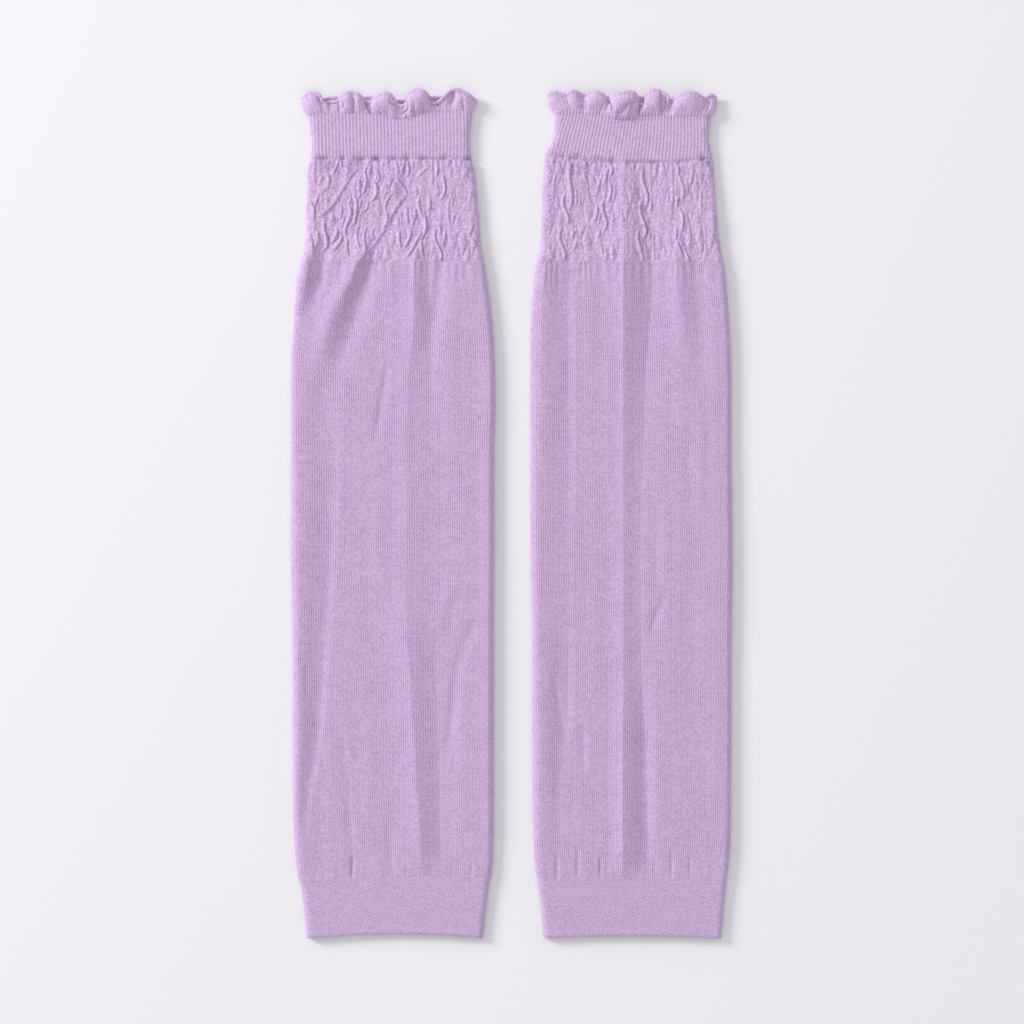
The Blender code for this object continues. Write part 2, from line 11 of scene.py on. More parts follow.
import bpy
import numpy as np
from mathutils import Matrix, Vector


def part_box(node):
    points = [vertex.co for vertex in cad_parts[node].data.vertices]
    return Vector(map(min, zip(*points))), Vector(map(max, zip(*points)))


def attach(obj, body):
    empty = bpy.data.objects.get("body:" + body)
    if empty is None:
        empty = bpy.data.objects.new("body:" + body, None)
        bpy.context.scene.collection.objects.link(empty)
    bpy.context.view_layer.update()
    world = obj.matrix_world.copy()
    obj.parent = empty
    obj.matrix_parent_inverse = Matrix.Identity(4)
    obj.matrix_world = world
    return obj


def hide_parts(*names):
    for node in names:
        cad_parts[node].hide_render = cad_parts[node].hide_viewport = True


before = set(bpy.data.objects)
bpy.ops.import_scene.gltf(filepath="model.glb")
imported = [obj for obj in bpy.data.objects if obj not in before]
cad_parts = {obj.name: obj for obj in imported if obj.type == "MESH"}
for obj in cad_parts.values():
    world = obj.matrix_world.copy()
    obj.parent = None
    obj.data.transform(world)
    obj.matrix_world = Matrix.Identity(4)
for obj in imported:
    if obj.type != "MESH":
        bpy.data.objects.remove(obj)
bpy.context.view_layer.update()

MM = 0.001

# Sizes shared with the part's solids
SLEEVE_SPACING = 119.5  # from one sleeve's centre line to the other's
CLOTH = 1.2  # thickness of one knitted layer
SLOT = 0.6  # empty height between the layers beside the folds
SEAM_GAP = 0.3  # between the solids of two stretches
FOLD_UPPER = 3.2  # width of a folded side's upper rounding
FOLD_LOWER = 1.2  # width of its lower rounding, down to the flat underside
LAYERS = 2 * CLOTH + SLOT  # height of the two layers beside the folds
FOLD_MIDDLE = LAYERS / 2  # height of the widest point of a folded side
PLEAT_SINK = 0.4  # share of a pleat's step that lies below the plain front
FRONT_MIDDLE = 0.6  # rise of the front layer at the body's middle
FRONT_SWELL = 0.5  # its further rise towards the puffed sides

# The sleeve's half widths from its centre line at heights above the hem
Outline = namedtuple("Outline", "along left right")
# A line across the sleeve where two stretches meet, at its left side, middle and right side
Seam = namedtuple("Seam", "left middle right")
# What the front layer's rise is multiplied by at heights above the hem
Rise = namedtuple("Rise", "along scale")
# A soft crease of the body: a ridge where rise is above zero, else a trough
Crease = namedtuple("Crease", "across0 along0 across1 along1 bow left_width right_width rise")
# A place along a flat pleat: its two borders, how far the cloth steps down between them, and how wide
# the gentle slopes beside it are
Pleat = namedtuple("Pleat", "along left right drop slope")
# A pucker's groove, from its top down to its foot, through four places evenly spaced along it
Groove = namedtuple("Groove", "top foot across0 across1 across2 across3 depth width", defaults=(0.9, 0.4))
# A sunken pocket between puckers, which is also painted darker as shade
Hollow = namedtuple("Hollow", "across along half_width half_length depth")
# A place on the ruffle's rim: its reach beyond the base line and height above the surface, and the
# cloth's slope in degrees where it leaves the base and where it reaches the rim, 0 unless given
Rim = namedtuple("Rim", "across reach height start end", defaults=(0, 0))
# A place on the line where the ribs run into the ruffle
Base = namedtuple("Base", "across along")
# How far a rib's upper end stands to the right of its lower end, at the sleeve's left and right side
Lean = namedtuple("Lean", "left right")
Sleeve = namedtuple(
    "Sleeve",
    "name side outline seams creases pleats softness grooves hollows base rib_lean front_rim back_rim "
    "ruffle_grooves ruffle_ribs",
)


def table(kind, rows):
    """Rows of numbers under the column names of their kind."""
    return [kind(*row) for row in rows]


DOME = table(Rise, [
    (0, 0.5), (28, 0.5), (60, 1), (310, 1), (345, 0.8), (388, 0.5), (412, 0.5),
])

LEFT = Sleeve(name="left", side=-1, outline=table(Outline, [
    (0, 42.5, 45), (15, 44.2, 46.7), (28, 45.9, 48.5), (34.5, 47.4, 49.6), (48, 48.9, 50.3),
    (90, 49.8, 50.4), (150, 50, 50.5), (190, 50.7, 50.8), (245, 50.8, 50.9), (270, 50.8, 51.4),
    (290, 50.7, 51), (308, 49.5, 49.9), (333, 46.4, 46.9), (338.5, 45.3, 46), (345, 43.7, 44.6),
    (368, 42.8, 42.6), (383, 42.4, 41), (390, 41, 39.4), (398, 40.4, 38.3), (412, 41.8, 39.6),
]), seams=table(Seam, [
    (0, 2.3, 0.3), (27.5, 30.5, 29), (337.5, 338.5, 337.5), (389.7, 389.5, 389.5), (411.4, 412.7, 413.7),
]), creases=table(Crease, [
    (-2, 292, -9.5, 246, 0.5, 1.6, 2.2, -0.45), (24.5, 350, 21, 300, 0, 2.4, 3.5, -0.8),
    (33, 182, 20, 146, -1, 4.5, 3, 0.5), (42, 160, 31, 130, -1, 2.6, 4, -0.45),
    (33, 142, 27, 88, 0, 2.2, 3.2, -0.5), (-43, 138, -43, 119, 0, 1, 1.4, -0.3),
    (-25, 110, -19, 32, 0, 3, 1.6, -0.3), (-20, 42, -20.5, 28.5, 0, 0.8, 1.3, -0.8),
    (-2, 58, -1, 31, 0, 2, 2.6, -0.3), (39.5, 38, 39.5, 30, 0, 0.8, 0.8, -0.4),
]), pleats=[table(Pleat, rows) for rows in ([
    (268, -40, -31, 0, 8), (285, -37.5, -27, 0.9, 8), (300, -33.5, -22, 2.3, 9), (315, -29, -17.5, 3, 9),
    (330, -20.5, -14, 3.4, 9), (338, -17, -12, 3, 9), (352, -12, -9, 0, 8),
], [
    (308, -49, -43, 0, 4), (318, -47, -40, 1.4, 5), (330, -44, -35.5, 2.9, 6), (338, -42.5, -35.5, 2.6, 6),
    (352, -40, -33, 0, 4),
], [
    (30, 15, 24.5, 0, 14), (45, 14.2, 24, 2.1, 14), (150, 7.5, 21.5, 1.7, 14), (165, 7.2, 23, 0.9, 12),
    (190, 7.2, 25, 0.6, 9), (250, 7.8, 24, 0.6, 8), (285, 8, 19, 0.9, 8), (300, 10.5, 19.5, 1.6, 9),
    (338, 11, 17.5, 1.5, 8), (350, 11.5, 19, 0, 8),
], [
    (50, -48, -44, 0, 3), (70, -48, -42, 0.9, 3), (100, -46, -37.8, 1.3, 4), (130, -46.5, -35.5, 1.3, 4),
    (190, -46.5, -31.5, 1.4, 5), (220, -46.5, -30.5, 1.2, 5), (250, -46.5, -30, 0.6, 5),
    (285, -46.5, -36, 0.5, 5), (298, -46.5, -38, 0, 5),
])], softness=(0.9, 1, 0.2, 1), grooves=table(Groove, [
    (388.5, 381, -26.1, -27, -28, -29), (387.7, 384.5, -24.5, -24.5, -24.5, -24.6, 0.6, 0.35),
    (385.6, 377.7, -22, -21.6, -22, -23.2, 0.7, 0.35), (384.5, 360, -16, -22.4, -27, -34.8, 0.65, 1.5),
    (382, 373.5, -31.5, -30.8, -31, -32), (381, 377, -34, -34.5, -35, -35.3, 0.7, 0.5),
    (371, 368, -33.4, -33.7, -34, -34.5, 0.5), (369.5, 358.7, -41, -39, -38.2, -38.7),
    (380, 372.8, -15.8, -15.7, -15.7, -15.9), (380, 371.5, -12.8, -12.4, -13, -14.5, 1),
    (369.5, 366.5, -20, -20.4, -20.7, -21), (370, 357, -17.4, -17, -17.5, -18.3, 1.1, 0.5),
    (369.5, 359, -14.7, -15.5, -16.6, -17.5), (368, 363, -11.6, -11.5, -12, -13.2, 0.8),
    (366.5, 358.7, -24.8, -24.6, -24.8, -25.7, 0.7), (365.5, 351, -20.7, -20.2, -22.2, -22.4, 0.9, 0.5),
    (358.7, 343.5, -32.7, -33, -31.8, -33.5, 1.1, 0.5), (355, 347, -26.7, -26.9, -27.8, -29.8, 1),
    (353, 344.2, -36.5, -36.2, -36.7, -38.2, 0.7), (350.5, 340.5, -40.2, -39.3, -38.8, -39.3, 0.8),
    (351, 343.5, -24.5, -25, -26.5, -28.6, 1, 0.5), (354, 351, -9, -9, -9, -9.1, 0.7, 0.35),
    (364.5, 353.5, -2.5, -1.6, -2.3, -4), (349.5, 340.5, -21.5, -22, -21.8, -21, 0.7),
    (355, 351, -13.7, -14, -14.4, -15, 0.5), (346, 338.8, -12.8, -12.9, -13.3, -15),
    (371.5, 369.5, -0.8, -0.8, -0.8, -0.8, 0.5), (386.5, 381, -9.8, -10.3, -10.6, -10.6, 0.7),
    (378.5, 368, -8.3, -7.1, -7.3, -9.5, 1), (383.5, 377, -6.2, -5.8, -6, -7, 0.8),
    (380.5, 371.5, 3, 4.8, 6.8, 8.3, 0.8), (372.5, 343, 9.5, 2, -3.4, -10.6, 0.65, 1.5),
    (385.4, 374.7, -21.6, -20.5, -21.2, -23.6, 0.6, 0.5), (380.8, 373.2, -30.2, -31.2, -32, -33.2, 0.6, 0.5),
    (371.7, 360, -35.8, -37.3, -38.3, -39.3, 0.7, 0.5), (379.3, 368.6, -16, -15, -15.3, -16.5, 0.7, 0.45),
    (385.4, 374.2, -12, -12.8, -11.6, -12, 0.8, 0.45), (385.4, 378.3, -7.9, -6.7, -6.9, -8.1, 0.6, 0.45),
    (371.7, 358.5, 0.7, -2.4, -2.6, -1.3, 0.7, 0.45), (370.7, 363.1, 1.7, 3.8, 3.8, 2.6, 0.5, 0.5),
    (362, 355.5, 9.9, 11, 11.2, 10.8, 0.6, 0.5), (371.7, 362, 30.6, 29.6, 28.6, 29.6, 0.5, 0.5),
    (356, 344.8, -16, -17, -16.7, -15.5, 0.6, 0.5), (355.5, 342.8, -12, -13.3, -13, -12.7, 0.7, 0.45),
    (354.5, 346.8, -8.4, -9.2, -8.4, -6.9, 0.5, 0.5), (354, 345.8, 27.6, 26.9, 26.5, 26.1, 0.5, 0.5),
    (386, 379, 38.8, 38, 38, 38.8, 0.6, 0.6), (386, 382.3, 6.4, 5.9, 5.7, 5.8),
    (388.5, 380.6, 8.5, 8.9, 8.9, 8.2, 1), (386.5, 381, 3.2, 3.5, 3.4, 3, 0.6, 0.35),
    (388, 384.5, 12.9, 12.9, 12.9, 12.8, 0.4, 0.35), (385, 379, 19, 16.5, 14.5, 13.3, 0.5, 0.6),
    (386, 380.7, 23.4, 23.3, 23, 22.8, 1), (381, 369.5, 26, 26.9, 27, 25.5),
    (370.5, 359, 14.3, 13.9, 15, 17.4, 1), (363, 348.5, 16.4, 17.5, 17.2, 14.2, 1.1, 0.5),
    (370, 363.2, 19.3, 19.5, 19.5, 18.9), (364.5, 357.5, 12.3, 12.3, 12, 11),
    (365.5, 356.7, 7.9, 8, 8.3, 8.5, 0.8), (353.7, 344.6, 4.4, 4.1, 4.4, 5.2, 1),
    (353.7, 344.6, 10, 9.6, 8.4, 6.9, 1), (353, 341, 15.8, 13.4, 11.2, 8.8, 0.9, 0.6),
    (349.6, 340.5, 15.3, 15.2, 15.4, 16.4, 0.8), (353.7, 337.5, 22.4, 22.5, 25, 24, 1),
    (353.5, 348.7, 27.2, 27.2, 27.1, 26.9), (370.7, 365.7, 31, 31, 30.8, 30.6, 0.7),
    (367, 363.2, 28.4, 28.7, 29, 29.3, 0.6, 0.35), (361, 358.7, 31.4, 31.4, 31.4, 31.3, 0.5, 0.35),
    (357, 351.7, 24.8, 24.7, 24.6, 24.5, 0.5, 0.35), (357, 351.2, 41, 40.6, 40, 39.3, 1),
    (349.6, 345.9, 40.4, 41.2, 42, 42.8, 0.8),
]), hollows=table(Hollow, [
    (5.5, 374, 3.2, 6.5, 0.7), (37.5, 381, 3, 7, 0.5), (-31, 385.5, 5, 2.6, 0.8),
    (-17.5, 386, 3.6, 3.2, 0.8), (7.2, 384.5, 2.6, 4, 0.5), (34, 386, 3, 3, -0.5),
    (-35.2, 389.3, 2.2, 1.5, 0.7), (-24.7, 389.6, 1.6, 1.6, 0.8), (-15.6, 389.2, 2.8, 1.4, 0.9),
    (-7.6, 389.2, 2.2, 1.7, 1), (0.8, 389.6, 1.6, 1.2, 0.7), (7.5, 389.6, 1.5, 1.8, 0.9),
    (16.5, 389.4, 4.5, 0.9, 0.4), (25.7, 389.8, 2, 1.5, 0.8), (37.6, 389.4, 2.2, 1.5, 0.6),
]), base=table(Base, [
    (-44, 410.8), (-37, 412.1), (-11, 412.2), (-3, 411.6), (1, 410.3), (8, 410.1), (11, 411.2), (16, 413.2),
    (42, 413.4),
]), rib_lean=Lean(0, 0), front_rim=table(Rim, [
    (-44.6, 8, 1.8, 10), (-43.8, 10, 3.1, 40), (-41, 11.1, 4.1, 55, -20), (-38, 10.7, 4.6, 55),
    (-36.2, 9.2, 5, 55, 120), (-35.2, 6.8, 4.9, 55, 170), (-34.2, 5.8, 3.8, 55, 60), (-31.5, 6.1, 3, 55, 20),
    (-28.2, 6.2, 3, 55, 20), (-26.6, 7.2, 3.5, 55), (-25.3, 9, 4.5, 55, -30), (-22.6, 10.3, 5.2, 60, -40),
    (-19.6, 10.2, 4.7, 60, -20), (-17.2, 9.4, 4.7, 60, -40), (-15.4, 8, 4.1, 60, -30),
    (-13.8, 6.4, 3.1, 60, 20), (-11.2, 5.6, 3.1, 65, 20), (-9.8, 6.4, 3.9, 65, -20), (-7.6, 8, 4.9, 65, -40),
    (-4.2, 9.4, 5.4, 65, -40), (-0.9, 8.4, 5.2, 65, -40), (1.2, 6, 4.5, 115, -20), (2.8, 3.8, 3.9, 115, 20),
    (4.8, 3, 3.7, 115, 20), (6.4, 4, 3.7, 115, 10), (7, 6.8, 4.3, 65, -10), (7.9, 8.8, 5, 85, -30),
    (10.2, 10.2, 5.6, 85, -40), (13.4, 10.6, 5.7, 85, -40), (16.4, 9.2, 5.4, 85, -40),
    (18.4, 7, 4.6, 70, -20), (19.8, 4.4, 3.7, 70, 10), (21.6, 4, 3.7, 28, 60), (23.2, 4.6, 4.5, 28, 150),
    (25, 6, 5, 28, 170), (27.2, 8, 5.3, 28, 160), (29.6, 10, 5.4, 28, 110), (32, 10.4, 5.3, 28, 20),
    (34.6, 9.6, 4.9, 28, -20), (37.4, 8.1, 4.5, 28, -30), (40, 6.2, 3.5, 28, -10), (41.6, 4.8, 2, 20),
]), back_rim=table(Rim, [
    (40.2, 5.8, 0.8), (36, 7.6, 0.8), (31, 7.4, 1.4, 10), (26, 7, 0.8), (20.5, 7.1, 1.6, 10),
    (15.5, 6.4, 0.8), (10, 6.8, 0.8), (4, 5.7, 1.6, 10), (-1.5, 6, 0.8), (-6.5, 6.8, 0.8),
    (-11.5, 8.1, 1.6, 10), (-17, 7, 0.8), (-23, 6.8, 0.8), (-30, 8.6, 1.6, 10), (-36, 7, 0.8),
    (-41.5, 7, 0.8),
]), ruffle_grooves=table(Groove, [
    (419.5, 411.5, -19.4, -19.3, -19.5, -19.8, 0.6, 0.9), (417.5, 412, -26.7, -26.7, -26.6, -26.6, 0.8, 0.5),
    (418, 414.9, -24.9, -24.2, -24, -24.6, 0.7, 0.5), (418, 414, -13.6, -13.4, -13.4, -13.6, 0.8, 0.5),
    (415.4, 412.2, -10.9, -10.6, -10.5, -10.3, 0.7, 0.5), (413.8, 411.2, -6.4, -6, -5.6, -5, 0.7, 0.5),
    (418.9, 411.9, 7, 8.1, 8, 5.2, 0.9, 0.5), (417.5, 415.3, 22, 22.6, 23.2, 24, 0.8, 0.5),
    (419.4, 413.5, 35.2, 35.3, 35.5, 35.6, 0.5, 0.6), (416, 411.5, -12.2, -12.2, -11.4, -10, 0.9, 0.5),
    (418.5, 414.5, -1.4, -0.6, 0.4, 1.5, 0.7, 0.5), (418.5, 411, 10.9, 10.8, 10.8, 11, 0.5, 1.1),
    (416.5, 412.5, 15.2, 15, 15, 15.2, 0.7, 0.5), (420, 415.5, 18, 18.6, 19.2, 19.6, 0.7, 0.5),
]), ruffle_ribs=0.5)

RIGHT = Sleeve(name="right", side=1, outline=table(Outline, [
    (0, 43.8, 45), (15, 45.2, 46.4), (28, 46.7, 47.6), (34.5, 47.9, 48.4), (48, 48.7, 49.5),
    (90, 49.3, 50.1), (150, 49.6, 50.2), (190, 50.4, 50.5), (245, 50.5, 50.1), (270, 50.5, 50.1),
    (290, 50.5, 49.8), (308, 50.2, 49), (333, 48.1, 46.9), (338.5, 47.2, 46.2), (345, 45.7, 44.8),
    (352, 45.2, 43.4), (368, 44.4, 42.2), (383, 43.6, 41.3), (390, 42.2, 40), (398, 38.7, 38.6),
    (412, 38.2, 39.4),
]), seams=table(Seam, [
    (0.2, 1.3, 0.2), (28.6, 28.9, 28.8), (337.5, 338, 337.5), (391.5, 387.8, 390), (412, 411.5, 411.5),
]), creases=table(Crease, [
    (-22, 344, -20, 280, 0, 6, 6, 0.6), (34.5, 280, 34.5, 205, 0, 3.4, 3.4, 0.4),
    (18, 173, 8.5, 151, -0.5, 1.4, 2.2, -0.5), (-39, 134, -32, 96, -0.5, 2.2, 1.2, -0.3),
    (-24, 112, -24, 80, 0, 2.4, 1.6, -0.5), (-37.5, 42, -37.5, 29, 0, 0.8, 1, -0.4),
    (-27, 45, -27, 29, 0, 1, 1.4, -0.5), (-15.5, 42, -15.5, 29, 0, 0.8, 1, -0.4),
    (11.5, 42, 11.5, 29, 0, 0.8, 1, -0.3), (20, 45, 20, 29, 0, 1, 1.2, -0.5),
    (29, 42, 29, 29, 0, 0.8, 1, -0.4),
]), pleats=[table(Pleat, rows) for rows in ([
    (29, -4.5, 8, 0, 10), (36, -4.5, 8.5, 2, 8), (45, -4.5, 8.5, 2.9, 8), (100, -4.5, 7, 2.4, 8),
    (130, -4.3, 5, 1.5, 8), (190, -4.3, 4.5, 1.2, 8), (250, -4.3, 6, 1.6, 10), (280, -4.3, 7, 2.2, 12),
    (315, -4.3, 10, 3.2, 14), (345, -4, 10, 3, 14), (385, -3.8, 8, 1.2, 12), (397, -3.5, 6, 0, 10),
], [
    (30, -44, -35, 0, 4), (45, -45.5, -35, 0.3, 4), (70, -46, -36, 0.5, 4), (100, -46, -33, 1, 4),
    (130, -46, -32, 1.1, 4), (190, -46, -32, 0.6, 4), (250, -46, -31, 1, 4), (300, -45, -31.5, 1.3, 4),
    (338, -43.5, -31.5, 1.2, 4), (352, -42, -31.5, 0, 4),
], [
    (180, 30, 35, 0, 8), (280, 29, 35, 0.3, 8), (300, 27.5, 34.5, 0.7, 8), (315, 24, 34, 1.1, 8),
    (338, 22.5, 33, 1.4, 8), (350, 22, 31, 0, 8),
])], softness=(0.15, 0.9, 0.8), grooves=table(Groove, [
    (387.5, 364.5, -29, -30.2, -29.1, -30, 1), (374.5, 366, -27.2, -26.8, -26.8, -27.2, 0.7),
    (371, 357.5, -32.5, -33.3, -31.5, -31), (354.5, 338.5, -34, -35, -33, -33, 1),
    (354.5, 349.5, -28.6, -28.3, -28.4, -28.7), (349, 344.5, -26.7, -26.9, -27.2, -27.5, 0.8),
    (342.5, 338.5, -31.3, -31.5, -31.5, -31.4, 0.5, 0.35), (382, 377.7, -37, -37.2, -37.5, -38, 0.5),
    (366, 362, -40.3, -40.3, -40.3, -40.2, 0.4), (384.5, 377.5, -11.3, -11.6, -12.1, -12.5, 1),
    (386, 381, -9, -8.9, -9.1, -9.3), (378.5, 368, -10.7, -9.6, -9.7, -11),
    (380.5, 374, -14.5, -15, -15.5, -16.1, 0.7), (366.5, 357.5, -16.5, -16.4, -16.8, -18, 0.7),
    (368.5, 353.5, -13, -13.5, -11.9, -12.8, 1), (353.5, 349.5, -15, -15.2, -15.6, -16),
    (347, 340.5, -14.6, -14.1, -13.7, -13.6, 0.6, 0.35), (360.5, 357, -7, -7.8, -8.8, -9.8, 0.35),
    (384.5, 366, 6.7, 6.6, 8.5, 8, 1.1), (368.5, 350, 6.2, 5.5, 7.6, 7, 1.1),
    (368.5, 362.5, 10.4, 10.7, 10.6, 10.2, 0.8), (353, 349, 9.6, 9.8, 9.9, 9.6, 0.8),
    (353.5, 337.5, 4.5, 4.2, 5.7, 6.5, 1), (351, 337.5, 12, 11.9, 12, 12.1, 0.5),
    (386, 380, 12.7, 12.8, 12.8, 12.6, 0.5, 0.35), (386, 361, 21.3, 21.2, 21.2, 20.9, 0.45),
    (386, 381, 24.3, 24.2, 24.1, 24, 1), (380, 369.5, 25, 26.3, 26.8, 26),
    (370.5, 365.5, 23.9, 23.7, 23.5, 23.2, 1), (364.5, 352.5, 25, 26.4, 26.4, 25.7),
    (354, 349, 23.4, 23.2, 23, 22.8, 1), (348, 339.5, 23.7, 24.6, 25.6, 26.5),
    (385, 376.5, 31.5, 31.3, 30.8, 30, 0.5), (360, 345, 28.5, 29.6, 30, 29.7, 0.6),
    (343.5, 337.5, 28, 28.5, 29.4, 30.2, 0.8), (373.5, 361, 35.7, 35.6, 35.6, 35.6, 0.5),
    (348.5, 344.5, 35.8, 35.8, 35.8, 35.8, 0.5), (362.5, 350.5, 41.5, 41.9, 41.9, 41.5, 0.6),
]), hollows=table(Hollow, [
    (-22, 384, 4, 4, 0.6), (-20, 371, 2.6, 6, 0.4), (-29, 385, 1.6, 3.5, 0.5), (38, 380, 3, 8, 0.5),
    (4, 368, 2, 12, 0.4), (-35.5, 391, 2.6, 1.3, 0.5), (-26.8, 390.4, 2, 1.6, 0.9),
    (-16.3, 389.2, 2.4, 1.6, 0.7), (-9.4, 388.8, 1.8, 1.8, 0.8), (2.5, 387.6, 5, 1, 0.6),
    (12, 387.6, 5, 0.9, 0.6), (35.6, 389.8, 1.8, 1.6, 0.9), (38.6, 387, 1.8, 1.4, 0.8),
]), base=table(Base, [
    (-41, 412.2), (-16, 412.3), (-9, 410.2), (-1, 409.6), (5, 411.1), (15, 411.2), (22, 410.6), (40, 411),
]), rib_lean=Lean(1.7, 0.2), front_rim=table(Rim, [
    (-40.8, 7.6, 1.8, 10), (-40.2, 10.6, 3, 18), (-37.4, 10.8, 3.7, 18, -10), (-34, 9.9, 3.7, 18),
    (-32.2, 9.8, 3.5, 18), (-30.8, 10.9, 4.1, 18, -10), (-29.2, 11.5, 4.2, 18, -20),
    (-27.5, 10.9, 4.1, 18, -20), (-25.4, 10.1, 3.3, 18), (-23.2, 10.4, 3.4, 18), (-20.6, 10.8, 4.3, 35, -30),
    (-17.6, 10.9, 4.9, 35, -40), (-15, 10.1, 5, 35, -40), (-13, 8.4, 4.5, 35, -30), (-11.9, 6.9, 3.8, 60),
    (-10.9, 7.6, 4.1, 70, -10), (-9.4, 9.2, 4.9, 70, -30), (-6.8, 10.3, 5.4, 100, -40),
    (-3.2, 11.2, 5.6, 100, -40), (0.2, 11.1, 5.4, 100, -40), (2.2, 9.8, 4.9, 60, -40),
    (3.5, 7.6, 4.1, 60, -20), (4.8, 5.4, 3.2, 60, 20), (6.2, 5.4, 3.2, 60, 20), (6.9, 7.8, 3.9, 60),
    (8, 10.4, 4.7, 50, -30), (10.8, 12.1, 5.3, 50, -40), (13.8, 11.5, 5.3, 50, -40), (16.4, 10.4, 5, 50),
    (18.2, 8.6, 4.7, 40, 90), (18, 6.2, 4.3, 40, 150), (18.4, 5.2, 3.5, 40, 60), (19.8, 6.4, 3.5, 40, 20),
    (21.6, 8, 4.2, 66, -20), (24.6, 9.8, 5, 66, -40), (28.6, 11.2, 5.4, 66, -40), (32.2, 10.4, 5.2, 66, -40),
    (34.8, 9, 4.3, 66, -30), (36.6, 8.2, 3.4, 66, 10), (38.8, 9.8, 3.5, 66, 20), (41, 9.8, 3.1, 66, 20),
    (41.9, 8.4, 1.8, 10),
]), back_rim=table(Rim, [
    (39, 8.2, 0.8), (35, 8.6, 0.8), (30.5, 7.4, 1.3, 10), (25.5, 7.4, 0.8), (20.2, 7.4, 1.5, 10),
    (15, 7, 0.8), (10, 7.6, 0.8), (5, 8.9, 1.6, 10), (-0.5, 7.4, 0.8), (-6, 7.6, 1.2, 10), (-11.5, 8.7, 1.4),
    (-17, 7.6, 0.8), (-22.5, 8, 1.4, 10), (-28, 7.6, 0.8), (-33.5, 8.2, 1.3, 10), (-38.5, 7.8, 0.8),
]), ruffle_grooves=table(Groove, [
    (422, 411.5, -23.6, -23.8, -24.4, -25, 0.35, 1.6), (416, 412, -14.6, -15, -15.6, -16.2, 0.6, 0.5),
    (418.6, 413, -11.6, -10.2, -9.5, -9.5, 0.9, 0.5), (419, 411, 1, -1.2, -3.6, -6.4, 0.6, 1.6),
    (419.6, 411.5, 3.9, 3.9, 3.9, 3.4, 0.8, 0.5), (422.5, 412, 14.6, 14.4, 14.4, 15.4, 0.9, 0.5),
    (418.5, 412.5, 39, 38.6, 38.2, 37.6, 0.8, 0.5),
]), ruffle_ribs=1)

# Stitches
BODY_WALES = 92  # across the front of the body and the crinkle band
FRONT_RIBS = 48  # ribs across the front of the rib band
COURSE = 0.9  # length of one row of stitches
RIB_COURSE = 1.5 * COURSE
WALE_RISE = 0.09
RIB_RISE = 0.24
RIM_RADIUS = 0.85  # of the ruffle's rolled, overlocked edge
RUFFLE_HALF = 0.5  # half the thickness of the ruffle's cloth
# Painted shade on a pleat's facet, for each millimetre of its drop
PLEAT_SHADE = 0.06  # how dark a pleat's facet is for each millimetre of its drop
SIDE_FLARE = 55  # how far the ruffle's ends lean out beyond the folds, in degrees
HEM_DEPTH = 8  # how far the cuff's inner face is made, inwards from the hem
CELL_WIDTH = 5.2  # of the crinkle band's pointed pockets
CELL_HEIGHT = 17
SEAM_DIP = 0.35  # how deep a gathered seam is sunk
GROOVE_RUN_OUT = 1.6  # length over which a pucker's groove fades away past its ends
CORD_WIDTH = 0.95  # from a pucker's groove to the top of the cord on its left
GROOVE_WIDTH = 0.8  # of a pucker's groove at its bottom, as a share of its whole width

# How densely the ruffle is divided
RUFFLE_FRONT, RUFFLE_BACK, RUFFLE_ROWS = 480, 200, 30


def smooth(value):
    value = np.clip(value, 0, 1)
    return value * value * (3 - 2 * value)


def bell(distance):
    return np.exp(-distance * distance)


def bridge(start, leave, end, arrive, share):
    """A smooth curve from start to end, with a slope for each; share runs from 0 to 1."""
    rise = end - start
    bend, turn = 3 * rise - 2 * leave - arrive, leave + arrive - 2 * rise
    return start + leave * share + bend * share ** 2 + turn * share ** 3


def ripple(x, y, size, seed):
    """Smooth seeded unevenness from -1 to 1; size is (across, along) of one swell."""
    count = 97
    lattice = np.random.default_rng(seed).uniform(-1, 1, (count, count))
    column, row = x / size[0] + 50, y / size[1] + 10
    left, low = np.floor(column).astype(int), np.floor(row).astype(int)
    right_share, upper_share = smooth(column - left), smooth(row - low)

    def at(column, row):
        return lattice[column % count, row % count]

    lower, upper = (
        at(left, height) * (1 - right_share) + at(left + 1, height) * right_share
        for height in (low, low + 1)
    )
    return lower * (1 - upper_share) + upper * upper_share


def half_width(sleeve, y, column):
    """The outline's half width at heights above the hem, on a smooth curve through its rows."""
    heights, widths = np.array([(row.along, getattr(row, column)) for row in sleeve.outline]).T
    y = np.clip(y, heights[0], heights[-1])
    index = np.clip(np.searchsorted(heights, y) - 1, 0, len(heights) - 2)
    before, after = np.maximum(index - 1, 0), np.minimum(index + 2, len(heights) - 1)
    span = heights[index + 1] - heights[index]
    place = (y - heights[index]) / span
    rise = widths[index + 1] - widths[index]

    def slope(first, last):
        steep = (widths[last] - widths[first]) / (heights[last] - heights[first]) * span
        return np.where(steep * rise <= 0, 0, steep)

    return bridge(widths[index], slope(before, index + 1), widths[index + 1], slope(index, after), place)


def seam_height(seam, share):
    """Where a seam lies along the sleeve; share runs from -1 at the left side to 1 at the right."""
    tilt = (seam.right - seam.left) / 2
    sag = (seam.right + seam.left) / 2 - seam.middle
    return seam.middle + tilt * share + sag * share ** 2


def base_height(sleeve, x):
    """Where the ribs run into the ruffle, on a smooth line through its places."""
    rows = np.array(sleeve.base)
    index = np.clip(np.searchsorted(rows[:, 0], x) - 1, 0, len(rows) - 2)
    place = smooth((x - rows[index, 0]) / (rows[index + 1, 0] - rows[index, 0]))
    return rows[index, 1] * (1 - place) + rows[index + 1, 1] * place


def dome(y, share):
    """The front layer's rise: low along the middle, higher along the puffed sides."""
    scale = np.interp(y, *zip(*DOME))
    return scale * (FRONT_MIDDLE + FRONT_SWELL * np.abs(share) ** 2.5)


